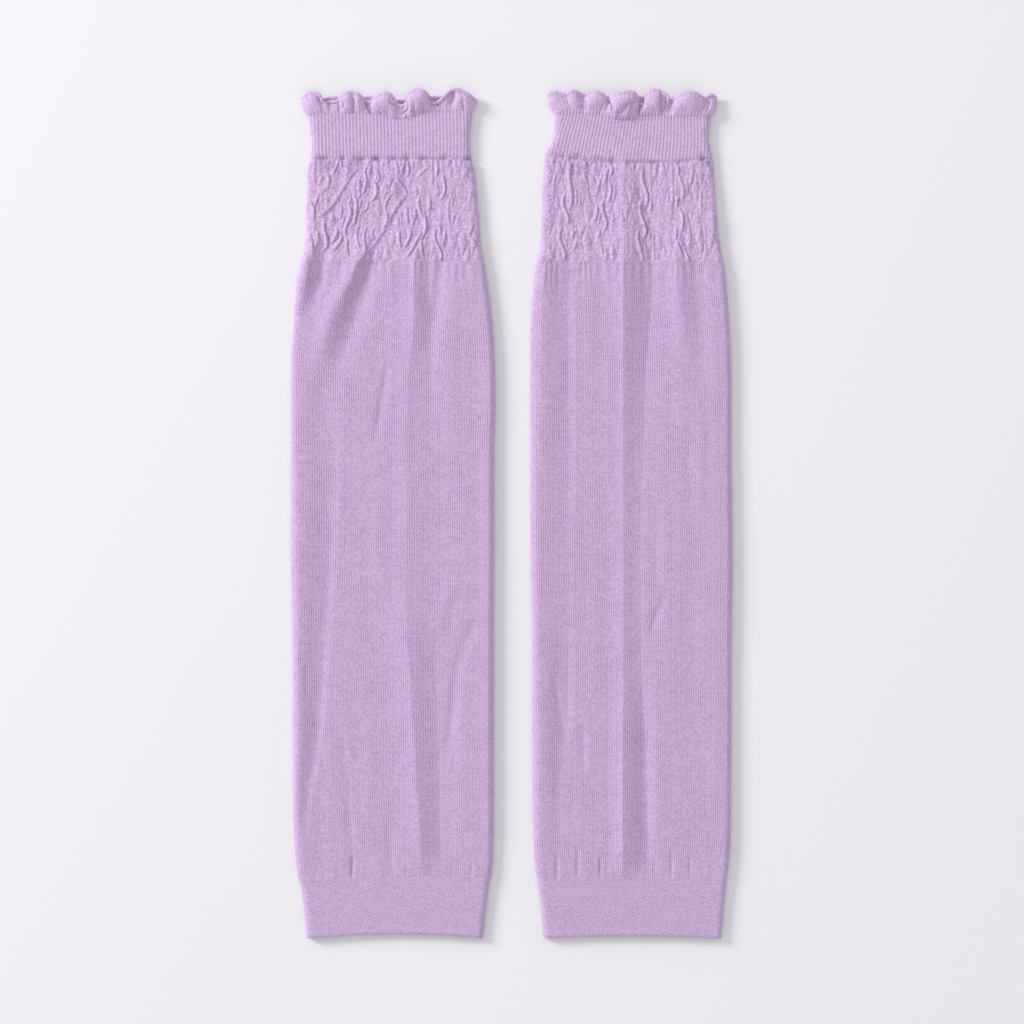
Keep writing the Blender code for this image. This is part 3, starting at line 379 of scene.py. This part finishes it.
def ring_spots(stretch):
    """Places round a section, from 0: the front, the right fold, the underside and the left fold."""
    shell = SHELLS[stretch]
    counts = (shell.front, shell.side, shell.back, shell.side)
    return np.concatenate([side + np.arange(count) / count for side, count in enumerate(counts)])


def section(sleeve, stretch, spots, places):
    """Points and outward directions of a stretch's plain outer surface, rows by columns."""
    index = list(SHELLS).index(stretch)
    first, last = sleeve.seams[index], sleeve.seams[index + 1]
    spots, places = spots[None, :], np.asarray(places, float)[:, None]
    level = seam_height(first, 0) + (seam_height(last, 0) - seam_height(first, 0)) * places
    left, right = half_width(sleeve, level, "left"), half_width(sleeve, level, "right")
    turn = np.pi * np.where(spots < 2, np.clip(spots - 1, 0, 1), np.clip(4 - spots, 0, 1))
    width = np.where(turn <= np.pi / 2, FOLD_UPPER, FOLD_LOWER)
    fold = width - width * np.sin(turn)
    part = np.clip(spots, 0, 1)
    over = part - np.clip(spots - 2, 0, 1)
    x = (fold - left) * (1 - over) + (right - fold) * over
    height = FOLD_MIDDLE * (1 + np.cos(turn)) + dome(level, 2 * part - 1) * np.maximum(np.cos(turn), 0)
    tilt = np.where(spots < 3, turn, -turn) + 0 * left
    share = np.clip((2 * x - right + left) / (right + left), -1, 1)
    upper_seam = base_height(sleeve, x) if stretch == "rib" else seam_height(last, share)
    y = seam_height(first, share) * (1 - places) + upper_seam * places
    points = np.stack([x, y, height], axis=-1)
    outward = np.stack([np.sin(tilt), 0 * tilt, np.cos(tilt)], axis=-1)
    return points, outward


def stitch_count(points, front_count):
    """The wale number at each point, counted round from the front layer's left end."""
    flat = points[..., [0, 2]]
    steps = np.linalg.norm(np.diff(flat, axis=1, append=flat[:, :1]), axis=-1)
    run = np.cumsum(steps, axis=1) - steps
    front = np.where(points[..., 2] > FOLD_MIDDLE, steps, 0).sum(axis=1, keepdims=True)
    return run / front * front_count


def arch(wale):
    """The rounded back of each wale, from 0 in the groove between two to 1 on top."""
    return 1 - (2 * (wale % 1) - 1) ** 2


def beads(count):
    """A row of round dots, 1 in the middle of each and 0 between two."""
    return 0.5 + 0.5 * np.cos(2 * np.pi * count)


def crease_height(crease, x, y):
    """The height that one crease adds; it runs downwards, and its two flanks may differ in width."""
    run_x, run_y = crease.across1 - crease.across0, crease.along1 - crease.along0
    length = np.hypot(run_x, run_y)
    off_x, off_y = x - crease.across0, y - crease.along0
    place = (off_x * run_x + off_y * run_y) / length ** 2
    aside = (run_x * off_y - run_y * off_x) / length - 4 * crease.bow * place * (1 - place)
    taper = smooth(place * 4) * smooth((1 - place) * 4)
    return crease.rise * taper * bell(aside / np.where(aside < 0, crease.left_width, crease.right_width))


def pleat_place(rows, x, y):
    """A pleat's borders, drop and slope widths at points, and their place across its facet."""
    heights, lefts, rights, drops, slopes = zip(*rows)
    left, right, slope = (
        sum(np.interp(y + shift, heights, column) for shift in (-5, 0, 5)) / 3
        for column in (lefts, rights, slopes)
    )
    return left, right, np.interp(y, heights, drops), slope, (right - x) / (right - left)


def pleat_shade(rows, softness, x, y):
    """How much painted shade a pleat's facet gets: all over it, most beside its upper border."""
    left, right, drop, slope, place = pleat_place(rows, x, y)
    width = right - left
    border = 1 + 5 * softness
    inside = smooth(0.5 + (1 - place) * width / border) * smooth(0.5 + place * width / 4)
    return np.minimum(drop, 2.4) * inside * (0.5 + 0.5 * np.clip(place, 0, 1))


def pleat_height(rows, softness, x, y):
    """A gentle slope up to the pleat's left border, then a flat facet down to its right one."""
    left, right, drop, slope, place = pleat_place(rows, x, y)
    facet = np.clip(place, 0, 1)
    facet = facet + max(softness, 0.4) * (smooth(facet) - facet) - PLEAT_SINK
    near = np.clip(1 - np.maximum(left - x, x - right) / slope, 0, 1)
    return drop * facet * (near ** 2 + softness * (smooth(near) - near ** 2))


def all_pleats(shape, sleeve, x, y):
    """The sum of a height or a shade over a sleeve's pleats."""
    return sum(shape(*pleat, x, y) for pleat in zip(sleeve.pleats, sleeve.softness))


def groove_aside(groove, x, y):
    """How far points lie beside a groove, and how deep it is at their height."""
    length = groove.top - groove.foot
    place = (groove.top - y) / length
    curve = np.polyfit(np.arange(4) / 3, groove[2:6], 3)
    held = np.clip(place, 0, 1)
    slope = np.polyval(np.polyder(curve), held) / length
    aside = (x - np.polyval(curve, held)) / np.sqrt(1 + slope ** 2)
    ends = length * np.minimum(place, 1 - place) + GROOVE_RUN_OUT
    return aside, groove.depth * smooth(ends / (2.4 * GROOVE_RUN_OUT))


def seam_pucker(x, distance, pitch, reach, seed):
    """Small gathers that fade away from a seam."""
    wander = ripple(x, distance, (9, 30), seed)
    return np.sin(2 * np.pi * (x / pitch + 0.6 * wander)) * np.exp(-np.abs(distance) / reach)


def all_creases(sleeve, x, y):
    creases = sum(crease_height(crease, x, y) for crease in sleeve.creases)
    return np.maximum(creases + all_pleats(pleat_height, sleeve, x, y), -1.3)


def seam_fade(distance, reach=1.6):
    """0 at a seam, rising to 1 away from it, so that the pieces on both sides meet."""
    return smooth(np.abs(distance) / reach)


def above_seam(sleeve, number, x, y, half=46):
    """How far points lie above a seam; half is about the sleeve's half width there."""
    return y - seam_height(sleeve.seams[number], np.clip(x / half, -1, 1))


def body_pinch(sleeve, x, y, wale, distance):
    """How deep the gathered seam between the body and the crinkle band is, and its painted shade in dots."""
    tight = np.clip(0.5 + 0.9 * ripple(x, y, (4.5, 40), 85 + sleeve.side), 0, 1)
    depth = 0.5 * SEAM_DIP * tight * bell(distance / 0.9)
    return depth, 0.6 * tight * beads(wale / 2) ** 3 * bell(distance / 0.7)


def body_relief(sleeve, x, y, wale):
    """Wales, soft unevenness and seam gathers over the creases and pleats."""
    top, foot = (above_seam(sleeve, number, x, y) for number in (2, 1))
    seed = 5 + sleeve.side
    relief = 0.22 * ripple(x, y, (6, 90), seed) + 0.1 * ripple(x, y, (9, 26), seed + 20)
    relief += 0.22 * seam_pucker(x, top, 4.2, 7, seed + 40)
    relief += 0.1 * seam_pucker(x, foot, 5, 5, seed + 60)
    relief = (relief + WALE_RISE * arch(wale)) * seam_fade(top) * seam_fade(foot)
    relief += all_creases(sleeve, x, y) * seam_fade(foot, 2.4)
    # Painted shade: dots in the gathered seam above, and a darker facet on each pleat
    depth, dark = body_pinch(sleeve, x, y, wale, top)
    relief = relief - depth + 0.22 * beads(wale / 2) ** 2 * bell((foot - 0.7) / 0.5)
    shade = all_pleats(pleat_shade, sleeve, x, y)
    return relief, dark + PLEAT_SHADE * shade * seam_fade(foot, 8)


def cells(x, y, seed):
    """The crinkle band's pockets: how far each point lies from the cords that part them."""
    x = x + 1.8 * ripple(x, y, (8, 16), seed)
    x = x + 0.5 * ripple(x, y, (3, 5), seed + 9)
    y = y + 2.4 * ripple(x, y, (11, 20), seed + 1)
    sway = np.cos(2 * np.pi * y / CELL_HEIGHT) * CELL_WIDTH / 5.6
    even = np.abs((x - sway) % CELL_WIDTH - CELL_WIDTH / 2)
    odd = np.abs((x + sway - CELL_WIDTH / 2) % CELL_WIDTH - CELL_WIDTH / 2)
    return np.minimum(even, odd)


def pockets(sleeve, x, y):
    """How deep the soft hollows between the puckers are."""
    sunk = 0
    for pocket in sleeve.hollows:
        off_x, off_y = x - pocket.across, y - pocket.along
        sunk += pocket.depth * bell(np.hypot(off_x / pocket.half_width, off_y / pocket.half_length))
    return sunk


def crinkle_relief(sleeve, x, y, wale):
    """Pockets and cords that the listed grooves part, with finer puckers between them."""
    seed = 105 + sleeve.side
    lips = valleys = 0 * x
    for groove in sleeve.grooves:
        aside, depth = groove_aside(groove, x, y)
        valleys = np.maximum(valleys, depth * bell(aside / (GROOVE_WIDTH * groove.width)))
        reach = CORD_WIDTH * max(groove.width, 1)
        cord = bell((aside + reach) / (0.8 * reach)) + 0.25 * bell((aside - reach) / (0.8 * reach))
        lips = np.maximum(lips, depth * cord)
    away = cells(x, y, seed + 20)
    strength = np.clip(0.3 + 0.7 * ripple(x, y, (4, 6), seed + 30), 0, 0.8)
    strength = strength * (1 - np.clip(1.2 * (lips + valleys), 0, 1))
    relief = 0.75 * lips - 0.3 * valleys + strength * (0.5 * smooth(away / 1.9) - 0.3 * bell(away / 0.4))
    pebbles = ripple(x, y, (1, 1.2), seed + 2)
    # Painted shade in the grooves and along the cords that part the pockets, with a speckle that follows the
    # pebbles
    dark = 0.85 * valleys + strength * (0.4 * bell(away / 0.36) + 0.2 * bell(away / 0.9)) - 0.2 * pebbles
    relief += 0.2 * ripple(x, y, (2.4, 8.5), seed)
    relief += 0.08 * ripple(x, y, (1.2, 3.4), seed + 1) + 0.1 * pebbles
    top, foot = (above_seam(sleeve, number, x, y, 44) for number in (3, 2))
    relief += 0.3 * seam_pucker(x, top, 3.6, 4, seed + 3)
    sunk = pockets(sleeve, x, y)
    relief = relief * seam_fade(top) * seam_fade(foot) + all_creases(sleeve, x, y) - sunk
    gathered = rib_pinch(sleeve, x, top)
    depth, dots = body_pinch(sleeve, x, y, wale, foot)
    relief -= SEAM_DIP * (0.3 * bell(top / 0.9) + gathered) + depth
    # Painted shade also in the sunken pockets and in the gathered seams above and below
    return relief, dark + 0.6 * np.maximum(sunk, 0) + dots + gathered


def rib_pinch(sleeve, x, distance):
    """How much painted shade the gathered seam under the rib band gets: blobs where the ribs are drawn
    together.
    """
    gathers = np.clip(0.35 + 0.8 * ripple(x, 0 * x, (1.9, 9), 305 + sleeve.side), 0.1, 1)
    return 0.85 * gathers * bell(distance / (0.6 + 0.7 * gathers))


def rib_relief(sleeve, x, y, wale):
    """Round ribs, tightly gathered at the seam below them."""
    foot = above_seam(sleeve, 3, x, y, 44)
    top = y - base_height(sleeve, x)
    gathered = rib_pinch(sleeve, x, foot)
    relief = RIB_RISE * arch(wale) ** 0.8 * seam_fade(foot, 1.2)
    relief -= SEAM_DIP * (0.3 * bell(foot / 0.9) + gathered)
    sunk = pockets(sleeve, x, y)
    relief += all_creases(sleeve, x, y) - sunk
    # Painted shade in the grooves between ribs, in the gathered seam, in the sunken pockets and in a line
    # under the ruffle's base
    groove = 0.45 * (1 - arch(wale)) ** 2 * (0.5 + 0.5 * beads(y / RIB_COURSE))
    return relief, groove + gathered + 0.6 * np.maximum(sunk, 0) + 0.15 * bell(top / 1.4)


def cuff_relief(sleeve, x, y, wale):
    """Bird's-eye stitch: small dots in offset rows."""
    dots = np.cos(2 * np.pi * wale) * np.cos(np.pi * y / COURSE)
    top, hem = (above_seam(sleeve, number, x, y) for number in (1, 0))
    relief = 0.05 * dots + 0.1 * ripple(x, y, (12, 9), 205 + sleeve.side)
    relief = relief * seam_fade(top) + 0.12 * bell((hem - 0.9) / 0.7)
    return relief, 0.5 * beads(wale) * bell((hem - 0.3) / 0.5)


# How each shell is made: its relief, the stitches across its front, and how densely its front, its
# folds, its back and its length are divided
Shell = namedtuple("Shell", "relief wales front side back rows")
SHELLS = {
    "cuff": Shell(cuff_relief, 70, 280, 12, 60, 60),
    "body": Shell(body_relief, BODY_WALES, 368, 16, 80, 150),
    "crinkle": Shell(crinkle_relief, BODY_WALES, 330, 14, 60, 180),
    "rib": Shell(rib_relief, FRONT_RIBS, 288, 48, 60, 30),
}


def add_object(name, data):
    thing = bpy.data.objects.new(name, data)
    bpy.context.scene.collection.objects.link(thing)
    return thing


def place_mesh(name, points, wale, course, hollow, closed_rows, shift, material):
    """A mesh from rows of points that each close into a ring, with stitch counts as its UV map."""
    rows, columns = points.shape[:2]
    faces_up = rows if closed_rows else rows - 1
    row, column = np.meshgrid(np.arange(faces_up), np.arange(columns), indexing="ij")
    row = np.stack([row, row, row + 1, row + 1], axis=-1) % rows
    column = np.stack([column, column + 1, column + 1, column], axis=-1)
    corners = row * columns + column % columns
    mesh = bpy.data.meshes.new(name)
    mesh.from_pydata(((points + shift) * MM).reshape(-1, 3), [], corners.reshape(-1, 4).tolist())
    unrolled = np.concatenate([wale, 2 * wale[:, -1:] - wale[:, -2:-1]], axis=1)
    stitches = np.stack([unrolled[row, column], course[row, column % columns]], axis=-1)
    layer = mesh.uv_layers.new(name="Stitches")
    layer.uv.foreach_set("vector", stitches.astype(np.float32).ravel())
    # Per-point darkening of the colour: painted shade in grooves, creases, gathers, pockets and on pleat
    # facets, and the ruffle's stitch line and dark dots along the hem
    depth = mesh.attributes.new("hollow", "FLOAT", "POINT")
    depth.data.foreach_set("value", np.clip(hollow, 0, 1.6).astype(np.float32).ravel())
    mesh.shade_smooth()
    mesh.materials.append(material)
    return add_object(name, mesh)


def tube(sleeve, stretch):
    """The shell of one stretch: its plain section raised by its stitches and creases."""
    shell = SHELLS[stretch]
    spots, places = ring_spots(stretch), np.linspace(0, 1, shell.rows + 1)
    plain, outward = section(sleeve, stretch, spots, places)
    wale = stitch_count(plain, shell.wales)
    x, y = plain[..., 0], plain[..., 1]
    if stretch == "rib":
        wale += straightened(x, spots, places) - rib_slant(sleeve, x) * places[:, None]
    raised, hollow = shell.relief(sleeve, x, y, wale)
    upper = smooth((plain[..., 2] - 0.2) / FOLD_MIDDLE)
    points = plain + outward * (raised * upper)[..., None]
    points[..., 2] = np.maximum(points[..., 2], 0)
    course = y / (RIB_COURSE if stretch == "rib" else COURSE)
    if stretch == "cuff":
        points, wale, course, hollow = add_hem(points, outward, wale, course, hollow)
    return points, wale, course, hollow, False


def straightened(x, spots, places):
    """What the rib numbers change by so that each rib runs straight between the band's two seams."""
    front = spots < 1
    low, high = (find(x[:, front], axis=1, keepdims=True) for find in (np.min, np.max))
    even_low, even_high = (end[:1] + (end[-1:] - end[:1]) * places[:, None] for end in (low, high))
    change = (x - even_low) / (even_high - even_low) - (x - low) / (high - low)
    ends = change[:, front][:, [-1, 0]]
    round_back = np.clip((spots - 1) / 3, 0, 1)
    behind = ends[:, :1] * (1 - round_back) + ends[:, 1:] * round_back
    return FRONT_RIBS * np.where(front, change, behind)


def rib_slant(sleeve, x):
    """How many ribs a rib's upper end stands to the right of its lower end."""
    share = np.clip(x / 80 + 0.5, 0, 1)
    slant = sleeve.rib_lean.left * (1 - share) + sleeve.rib_lean.right * share
    return slant * FRONT_RIBS / 80


def add_hem(points, outward, wale, course, hollow):
    """Turns the cuff's lower edge round into an inner face."""
    first, out = points[:1], outward[:1]
    turns = np.linspace(np.pi, 0, 7)[1:-1, None, None]
    up = np.array([0, 1, 0])
    edge = first - CLOTH / 2 * (out - out * np.cos(turns) + up * np.sin(turns))
    inner = first - out * CLOTH + up * np.linspace(HEM_DEPTH, 0, 9)[:, None, None]
    extra = len(edge) + len(inner)
    points = np.concatenate([inner, edge, points])
    wale, hollow = (np.concatenate([np.repeat(rows[:1], extra, axis=0), rows]) for rows in (wale, hollow))
    course = np.concatenate([course[:1] - np.linspace(extra * 0.3, 0.3, extra)[:, None], course])
    return points, wale, course, hollow


def smooth_loop(rows, steps):
    """A smooth closed curve through rows of numbers."""
    before, start, end, after = (np.roll(rows, turn, axis=0)[:, None] for turn in (1, 0, -1, -2))
    share = (np.arange(steps) / steps)[:, None]
    curve = bridge(start, (end - before) / 2, end, (after - start) / 2, share)
    return curve.reshape(-1, rows.shape[1])


def spread(path, count):
    """Rows of numbers at even distances along a path whose first three columns are its points."""
    steps = np.linalg.norm(np.diff(path[:, :3], axis=0), axis=1)
    run = np.concatenate([[0], np.cumsum(steps)])
    at = np.linspace(0, run[-1], count, endpoint=False)
    return np.stack([np.interp(at, run, column) for column in path.T], axis=1)


def ruffle_loop(path, turn):
    """Both layers' points of a closed path that starts at the left fold and turns at the right."""
    front = spread(path[:turn + 1], RUFFLE_FRONT)
    back = spread(np.concatenate([path[turn:], path[:1]]), RUFFLE_BACK)
    return np.concatenate([front, back])


def ruffle_foot(sleeve):
    """The middle of the cloth at the top of the rib band, with its rib numbers."""
    plain, outward = section(sleeve, "rib", ring_spots("rib"), [1])
    wale = stitch_count(plain, FRONT_RIBS) - rib_slant(sleeve, plain[..., 0])
    path = np.concatenate([plain - outward * CLOTH / 2, wale[..., None]], axis=-1)[0]
    start = np.argmin(path[:, 0])
    total = path[-1, 3] + path[1, 3] - path[0, 3]
    path = np.concatenate([path[start:] - [0, 0, 0, total], path[:start]])
    return ruffle_loop(path, np.argmax(path[:, 0]))


def ruffle_rim(sleeve):
    """The rim's path in both layers, with the cloth's slopes at the base and at the rim."""
    steps, seam = 24, sleeve.seams[-1]
    rows = [
        (x, seam_height(seam, np.clip(x / 40, -1, 1)) + reach, *others)
        for x, reach, *others in sleeve.front_rim + sleeve.back_rim
    ]
    return ruffle_loop(smooth_loop(np.array(rows), steps), (len(sleeve.front_rim) - 1) * steps)


def direction(slope, flare):
    """Unit vectors along the sleeve, turned up by the slope and outwards by the flare."""
    return np.stack([np.cos(slope) * np.sin(flare), np.cos(slope) * np.cos(flare), np.sin(slope)], axis=1)


def ruffle_middle(sleeve, foot, rim, places):
    """The ruffle's middle surface, a strip of cloth bent from each place on its base to its rim, and
    how deep its folds are, painted along them as shade."""
    start, end = foot[:, :3], rim[:, :3]
    reach = np.linalg.norm(end - start, axis=1, keepdims=True) * 1.1
    slopes = np.radians(rim[:, 3:])
    slopes[:, 0] *= np.where(rim[:, 3] < 95, 0.7, 1)
    side = foot[:, 0] / np.abs(foot[:, 0]).max()
    flare = np.radians(SIDE_FLARE) * side ** 9
    leave = reach * direction(slopes[:, 0], flare)
    arrive = reach * direction(slopes[:, 1], -0.4 * flare)
    middle = bridge(start, leave, end, arrive, places[:, None, None])
    front = np.arange(len(foot)) < RUFFLE_FRONT
    uneven = 0.35 * ripple(middle[..., 0], middle[..., 1], (3, 5.5), 405 + sleeve.side)
    middle[..., 2] += front * uneven * smooth(3 * places[:, None]) * (1 - side ** 8)
    shade = 0
    for groove in sleeve.ruffle_grooves:
        aside, depth = groove_aside(groove, middle[..., 0], middle[..., 1])
        middle[..., 2] -= 1.3 * front * depth * bell(aside / (1.3 * groove.width))
        shade = np.maximum(shade, front * depth * bell(aside / (0.9 * groove.width)))
    middle[..., 2] = np.maximum(middle[..., 2], CLOTH / 2)
    return middle, shade


def unit(vectors):
    return vectors / np.maximum(np.linalg.norm(vectors, axis=-1, keepdims=True), 1e-9)


def ruffle(sleeve):
    """The ruffle: a wall folded over a rolled rim, raised by the ribs that run up into it."""
    foot, rim = ruffle_foot(sleeve), ruffle_rim(sleeve)
    places = np.linspace(0, 1, RUFFLE_ROWS + 1)
    middle, shade = ruffle_middle(sleeve, foot, rim, places)
    round_it = np.roll(middle, -1, axis=1) - np.roll(middle, 1, axis=1)
    up_it = np.gradient(middle, axis=0)
    normal, rimward = unit(np.cross(round_it, up_it)), unit(up_it[-1])
    s = places[:, None]
    wale = foot[None, :, 3] + 0 * s
    half = RUFFLE_HALF + (RIM_RADIUS - RUFFLE_HALF) * smooth((s - 0.88) / 0.08)
    stitch_line = bell((s - 0.86) / 0.025)
    fading = sleeve.ruffle_ribs * (1 - 0.6 * s)
    fine = smooth(s / 0.3)
    ribs = (1 - fine) * arch(wale) + 0.4 * fine * arch(2 * wale)
    outside = half + 0.1 * bell(s / 0.12) + 0.3 * fading * ribs - 0.18 * stitch_line
    outer, inner = middle + normal * outside[..., None], middle - normal * half[..., None]
    turns = np.linspace(0, np.pi, 9)[1:-1, None, None]
    edge = middle[-1] + RIM_RADIUS * (normal[-1] * np.cos(turns) + rimward * np.sin(turns))
    points = np.concatenate([outer, edge, inner[::-1]])
    points[..., 2] = np.maximum(points[..., 2], 0)
    # Painted shade in the ribs' grooves, at the base where the ruffle stands up and along its folds; the
    # dotted stitch line near the rim is real stitching
    standing = smooth((rim[:, 3] - 25) / 40)
    grooves = (1 - arch(wale)) ** 2
    hollow = 0.45 * fading * ((1 - fine) * grooves + 1.4 * fine * (1 - arch(2 * wale)) ** 2)
    hollow += 0.5 * grooves * bell(s / 0.16) + 0.1 * standing * bell(s / 0.08)
    hollow += 0.6 * stitch_line * (0.3 + 0.7 * beads(wale)) + 1.5 * shade
    hollow = np.pad(hollow, [(0, len(points) - len(hollow)), (0, 0)])
    course = np.arange(len(points))[:, None] * COURSE / 2 + 0 * hollow
    return points, wale[0] + 0 * hollow, course, hollow, True


def set_inputs(node, values):
    for name, value in values.items():
        node.inputs[name].default_value = value


def fed_node(kind, mode, *values):
    """A new node beside the first value's, fed in order with numbers or other nodes' outputs."""
    tree = values[0].id_data
    node = tree.nodes.new(kind)
    for name, value in mode.items():
        setattr(node, name, value)
    for value, socket in zip(values, node.inputs):
        if isinstance(value, bpy.types.NodeSocket):
            tree.links.new(value, socket)
        else:
            socket.default_value = value
    return node.outputs[0]


def maths(operation, *values):
    return fed_node("ShaderNodeMath", {"operation": operation}, *values)


def ramp(value, low, high, to_low=0, to_high=1):
    """A smooth step between two values."""
    mode = {"interpolation_type": "SMOOTHSTEP"}
    return fed_node("ShaderNodeMapRange", mode, value, low, high, to_low, to_high)


def noise(vector, scale, detail):
    return fed_node("ShaderNodeTexNoise", {}, vector, 0, scale, detail)


def from_groove(count):
    """0 in the middle of a stitch, 1 at the grooves on both its sides."""
    return maths("ABSOLUTE", maths("MULTIPLY_ADD", maths("FRACT", count), 2, -1))


def loop_stitches(wale, course):
    """Plain knit: a V of two yarns for each stitch; 1 in the gaps between yarns."""
    side = from_groove(wale)
    between = ramp(from_groove(maths("MULTIPLY_ADD", side, -0.55, course)), 0.45, 1)
    return maths("MAXIMUM", ramp(side, 0.45, 1), maths("MULTIPLY", between, 0.7))


def dot_stitches(wale, course):
    """Bird's-eye knit: a small hollow in each stitch, in rows offset by half a stitch."""
    slants = [from_groove(maths("MULTIPLY_ADD", course, lean, wale)) for lean in (0.5, -0.5)]
    return ramp(maths("MULTIPLY", *slants), 0.05, 0.75)


# The look of one knit: its pattern, the pattern's contrast (the yarns' look, with painted shade in their
# gaps), how much of that is left in the faintest patch, the yarn's speckle, and how dark the knit is overall
Knit = namedtuple("Knit", "pattern contrast faintest grain shade")
KNITS = {
    "pique_knit": Knit(dot_stitches, 0.85, 0.6, 0.30, 0.36),
    "jersey_knit": Knit(loop_stitches, 0.66, 0.35, 0.30, 0.30),
    "crinkle_knit": Knit(loop_stitches, 0.26, 0.3, 0.44, 0.21),
    "rib_knit": Knit(loop_stitches, 0.30, 0.8, 0.26, 0.21),
    "ruffle_knit": Knit(loop_stitches, 0.24, 0.5, 0.46, 0.07),
}
PATTERN_MEAN = 0.35
# The knit's colour, mixed towards the darker lilac by the stitch pattern, the speckle and the painted shade
LILAC_LIGHT = (0.665, 0.492, 0.728, 1)
LILAC_DARK = (0.315, 0.190, 0.385, 1)


def new_material(name):
    material = bpy.data.materials.new(name)
    material.use_nodes = True
    return material, material.node_tree, material.node_tree.nodes["Principled BSDF"]


def knit_material(name):
    """Lilac knit: stitches from the UV map, painted shade in its hollows and stitch gaps, with fuzz and a
    soft sheen.
    """
    knit = KNITS[name]
    material, tree, shader = new_material(name)
    sheen = {"Sheen Weight": 0.2, "Sheen Roughness": 0.5, "Sheen Tint": (0.95, 0.85, 1, 1)}
    set_inputs(shader, {"Roughness": 0.92, "Specular IOR Level": 0.15, **sheen})
    uv = tree.nodes.new("ShaderNodeUVMap")
    uv.uv_map = "Stitches"
    split = tree.nodes.new("ShaderNodeSeparateXYZ")
    tree.links.new(uv.outputs["UV"], split.inputs["Vector"])
    place = tree.nodes.new("ShaderNodeTexCoord").outputs["Object"]
    gaps = knit.pattern(split.outputs["X"], split.outputs["Y"])
    patches = ramp(noise(place, 75, 1), 0.38, 0.62, knit.faintest, 1)
    # Reads the per-point painted shade, which also holds the ruffle's stitch line, and darkens the colour by
    # it
    hollow = tree.nodes.new("ShaderNodeAttribute")
    hollow.attribute_name = "hollow"
    relief = maths("MULTIPLY", maths("SUBTRACT", gaps, PATTERN_MEAN), patches)
    dark = maths("MULTIPLY_ADD", relief, knit.contrast, knit.shade)
    for scale, spread_out, change in ((950, 0.18, knit.grain / 2), (260, 0.15, 0.03)):
        speckle = ramp(noise(place, scale, 2), 0.5 - spread_out, 0.5 + spread_out, -change, change)
        dark = maths("ADD", dark, speckle)
    dark = maths("MULTIPLY_ADD", hollow.outputs["Fac"], 0.45, dark)
    colour = tree.nodes.new("ShaderNodeMix")
    colour.data_type = "RGBA"
    tree.links.new(dark, colour.inputs["Factor"])
    ends = [socket for socket in colour.inputs if socket.type == "RGBA"]
    for socket, value in zip(ends, (LILAC_LIGHT, LILAC_DARK)):
        socket.default_value = value
    result = next(socket for socket in colour.outputs if socket.type == "RGBA")
    tree.links.new(result, shader.inputs["Base Color"])
    bump = tree.nodes.new("ShaderNodeBump")
    set_inputs(bump, {"Strength": 0.6, "Distance": 0.00012})
    bump.invert = True
    tree.links.new(dark, bump.inputs["Height"])
    tree.links.new(bump.outputs["Normal"], shader.inputs["Normal"])
    return material


def light_scene():
    """Even fill from all round and one large soft light from the upper left."""
    world = bpy.data.worlds.new("studio")
    world.use_nodes = True
    set_inputs(world.node_tree.nodes["Background"], {"Color": (0.99, 0.985, 1, 1), "Strength": 0.72})
    bpy.context.scene.world = world
    key = add_object("key", bpy.data.lights.new("key", "AREA"))
    key.data.size, key.data.energy = 0.9, 100
    distance, elevation, azimuth = 3.6, np.radians([22.5]), np.radians([-63])
    key.location = distance * direction(elevation, azimuth)[0]
    key.rotation_euler = (-key.location).to_track_quat("-Z", "Y").to_euler()


def add_floor():
    mesh = bpy.data.meshes.new("floor")
    half, height = 6, -0.0002
    corners = [(x * half, y * half, height) for x, y in ((-1, -1), (1, -1), (1, 1), (-1, 1))]
    mesh.from_pydata(corners, [], [range(4)])
    floor = add_object("floor", mesh)
    material, _, shader = new_material("paper")
    set_inputs(shader, {"Base Color": (0.85, 0.845, 0.87, 1), "Roughness": 0.9, "Specular IOR Level": 0.1})
    mesh.materials.append(material)


def add_camera():
    """Straight above the pair, so far up that the picture is as wide as picture_width."""
    camera = add_object("camera", bpy.data.cameras.new("camera"))
    lens, sensor = 85, 36
    camera.data.lens, camera.data.sensor_width = lens, sensor
    picture_width, layer_height = 0.512, 0.003
    camera.location = (0.0002, 0.0003, layer_height + picture_width * lens / sensor)
    bpy.context.scene.camera = camera
    bpy.context.scene.view_settings.view_transform = "Standard"


def pair_shift():
    """From the tables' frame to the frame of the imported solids, read from the left body's box."""
    low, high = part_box("left_body")
    top = LEFT.seams[2].middle
    widest = max(float(half_width(LEFT, np.array(level), "left")) for level in range(230, 300))
    return np.array([low[0] / MM + SLEEVE_SPACING / 2 + widest, high[1] / MM - top + SEAM_GAP / 2, 0])


# For each stretch its material's slot, and the flat size of its whole cut in metres
Cut = namedtuple("Cut", "slot flat")
CUTS = {
    "cuff": Cut("pique_knit", (0.186, 0.0285)),
    "body": Cut("jersey_knit", (0.204, 0.309)),
    "crinkle": Cut("crinkle_knit", (0.180, 0.052)),
    "rib": Cut("rib_knit", (0.162, 0.022)),
    "ruffle": Cut("ruffle_knit", (0.215, 0.0115)),
}


def main():
    add_camera()
    light_scene()
    add_floor()
    materials = {slot: knit_material(slot) for slot in KNITS}
    for sleeve in (LEFT, RIGHT):
        shift = pair_shift() + np.array([sleeve.side * SLEEVE_SPACING / 2, 0, 0])
        for stretch, cut in CUTS.items():
            shell = ruffle(sleeve) if stretch == "ruffle" else tube(sleeve, stretch)
            piece = place_mesh(f"{sleeve.name}_{stretch}_knit", *shell, shift, materials[cut.slot])
            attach(piece, "root")
            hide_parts(f"{sleeve.name}_{stretch}")


main()
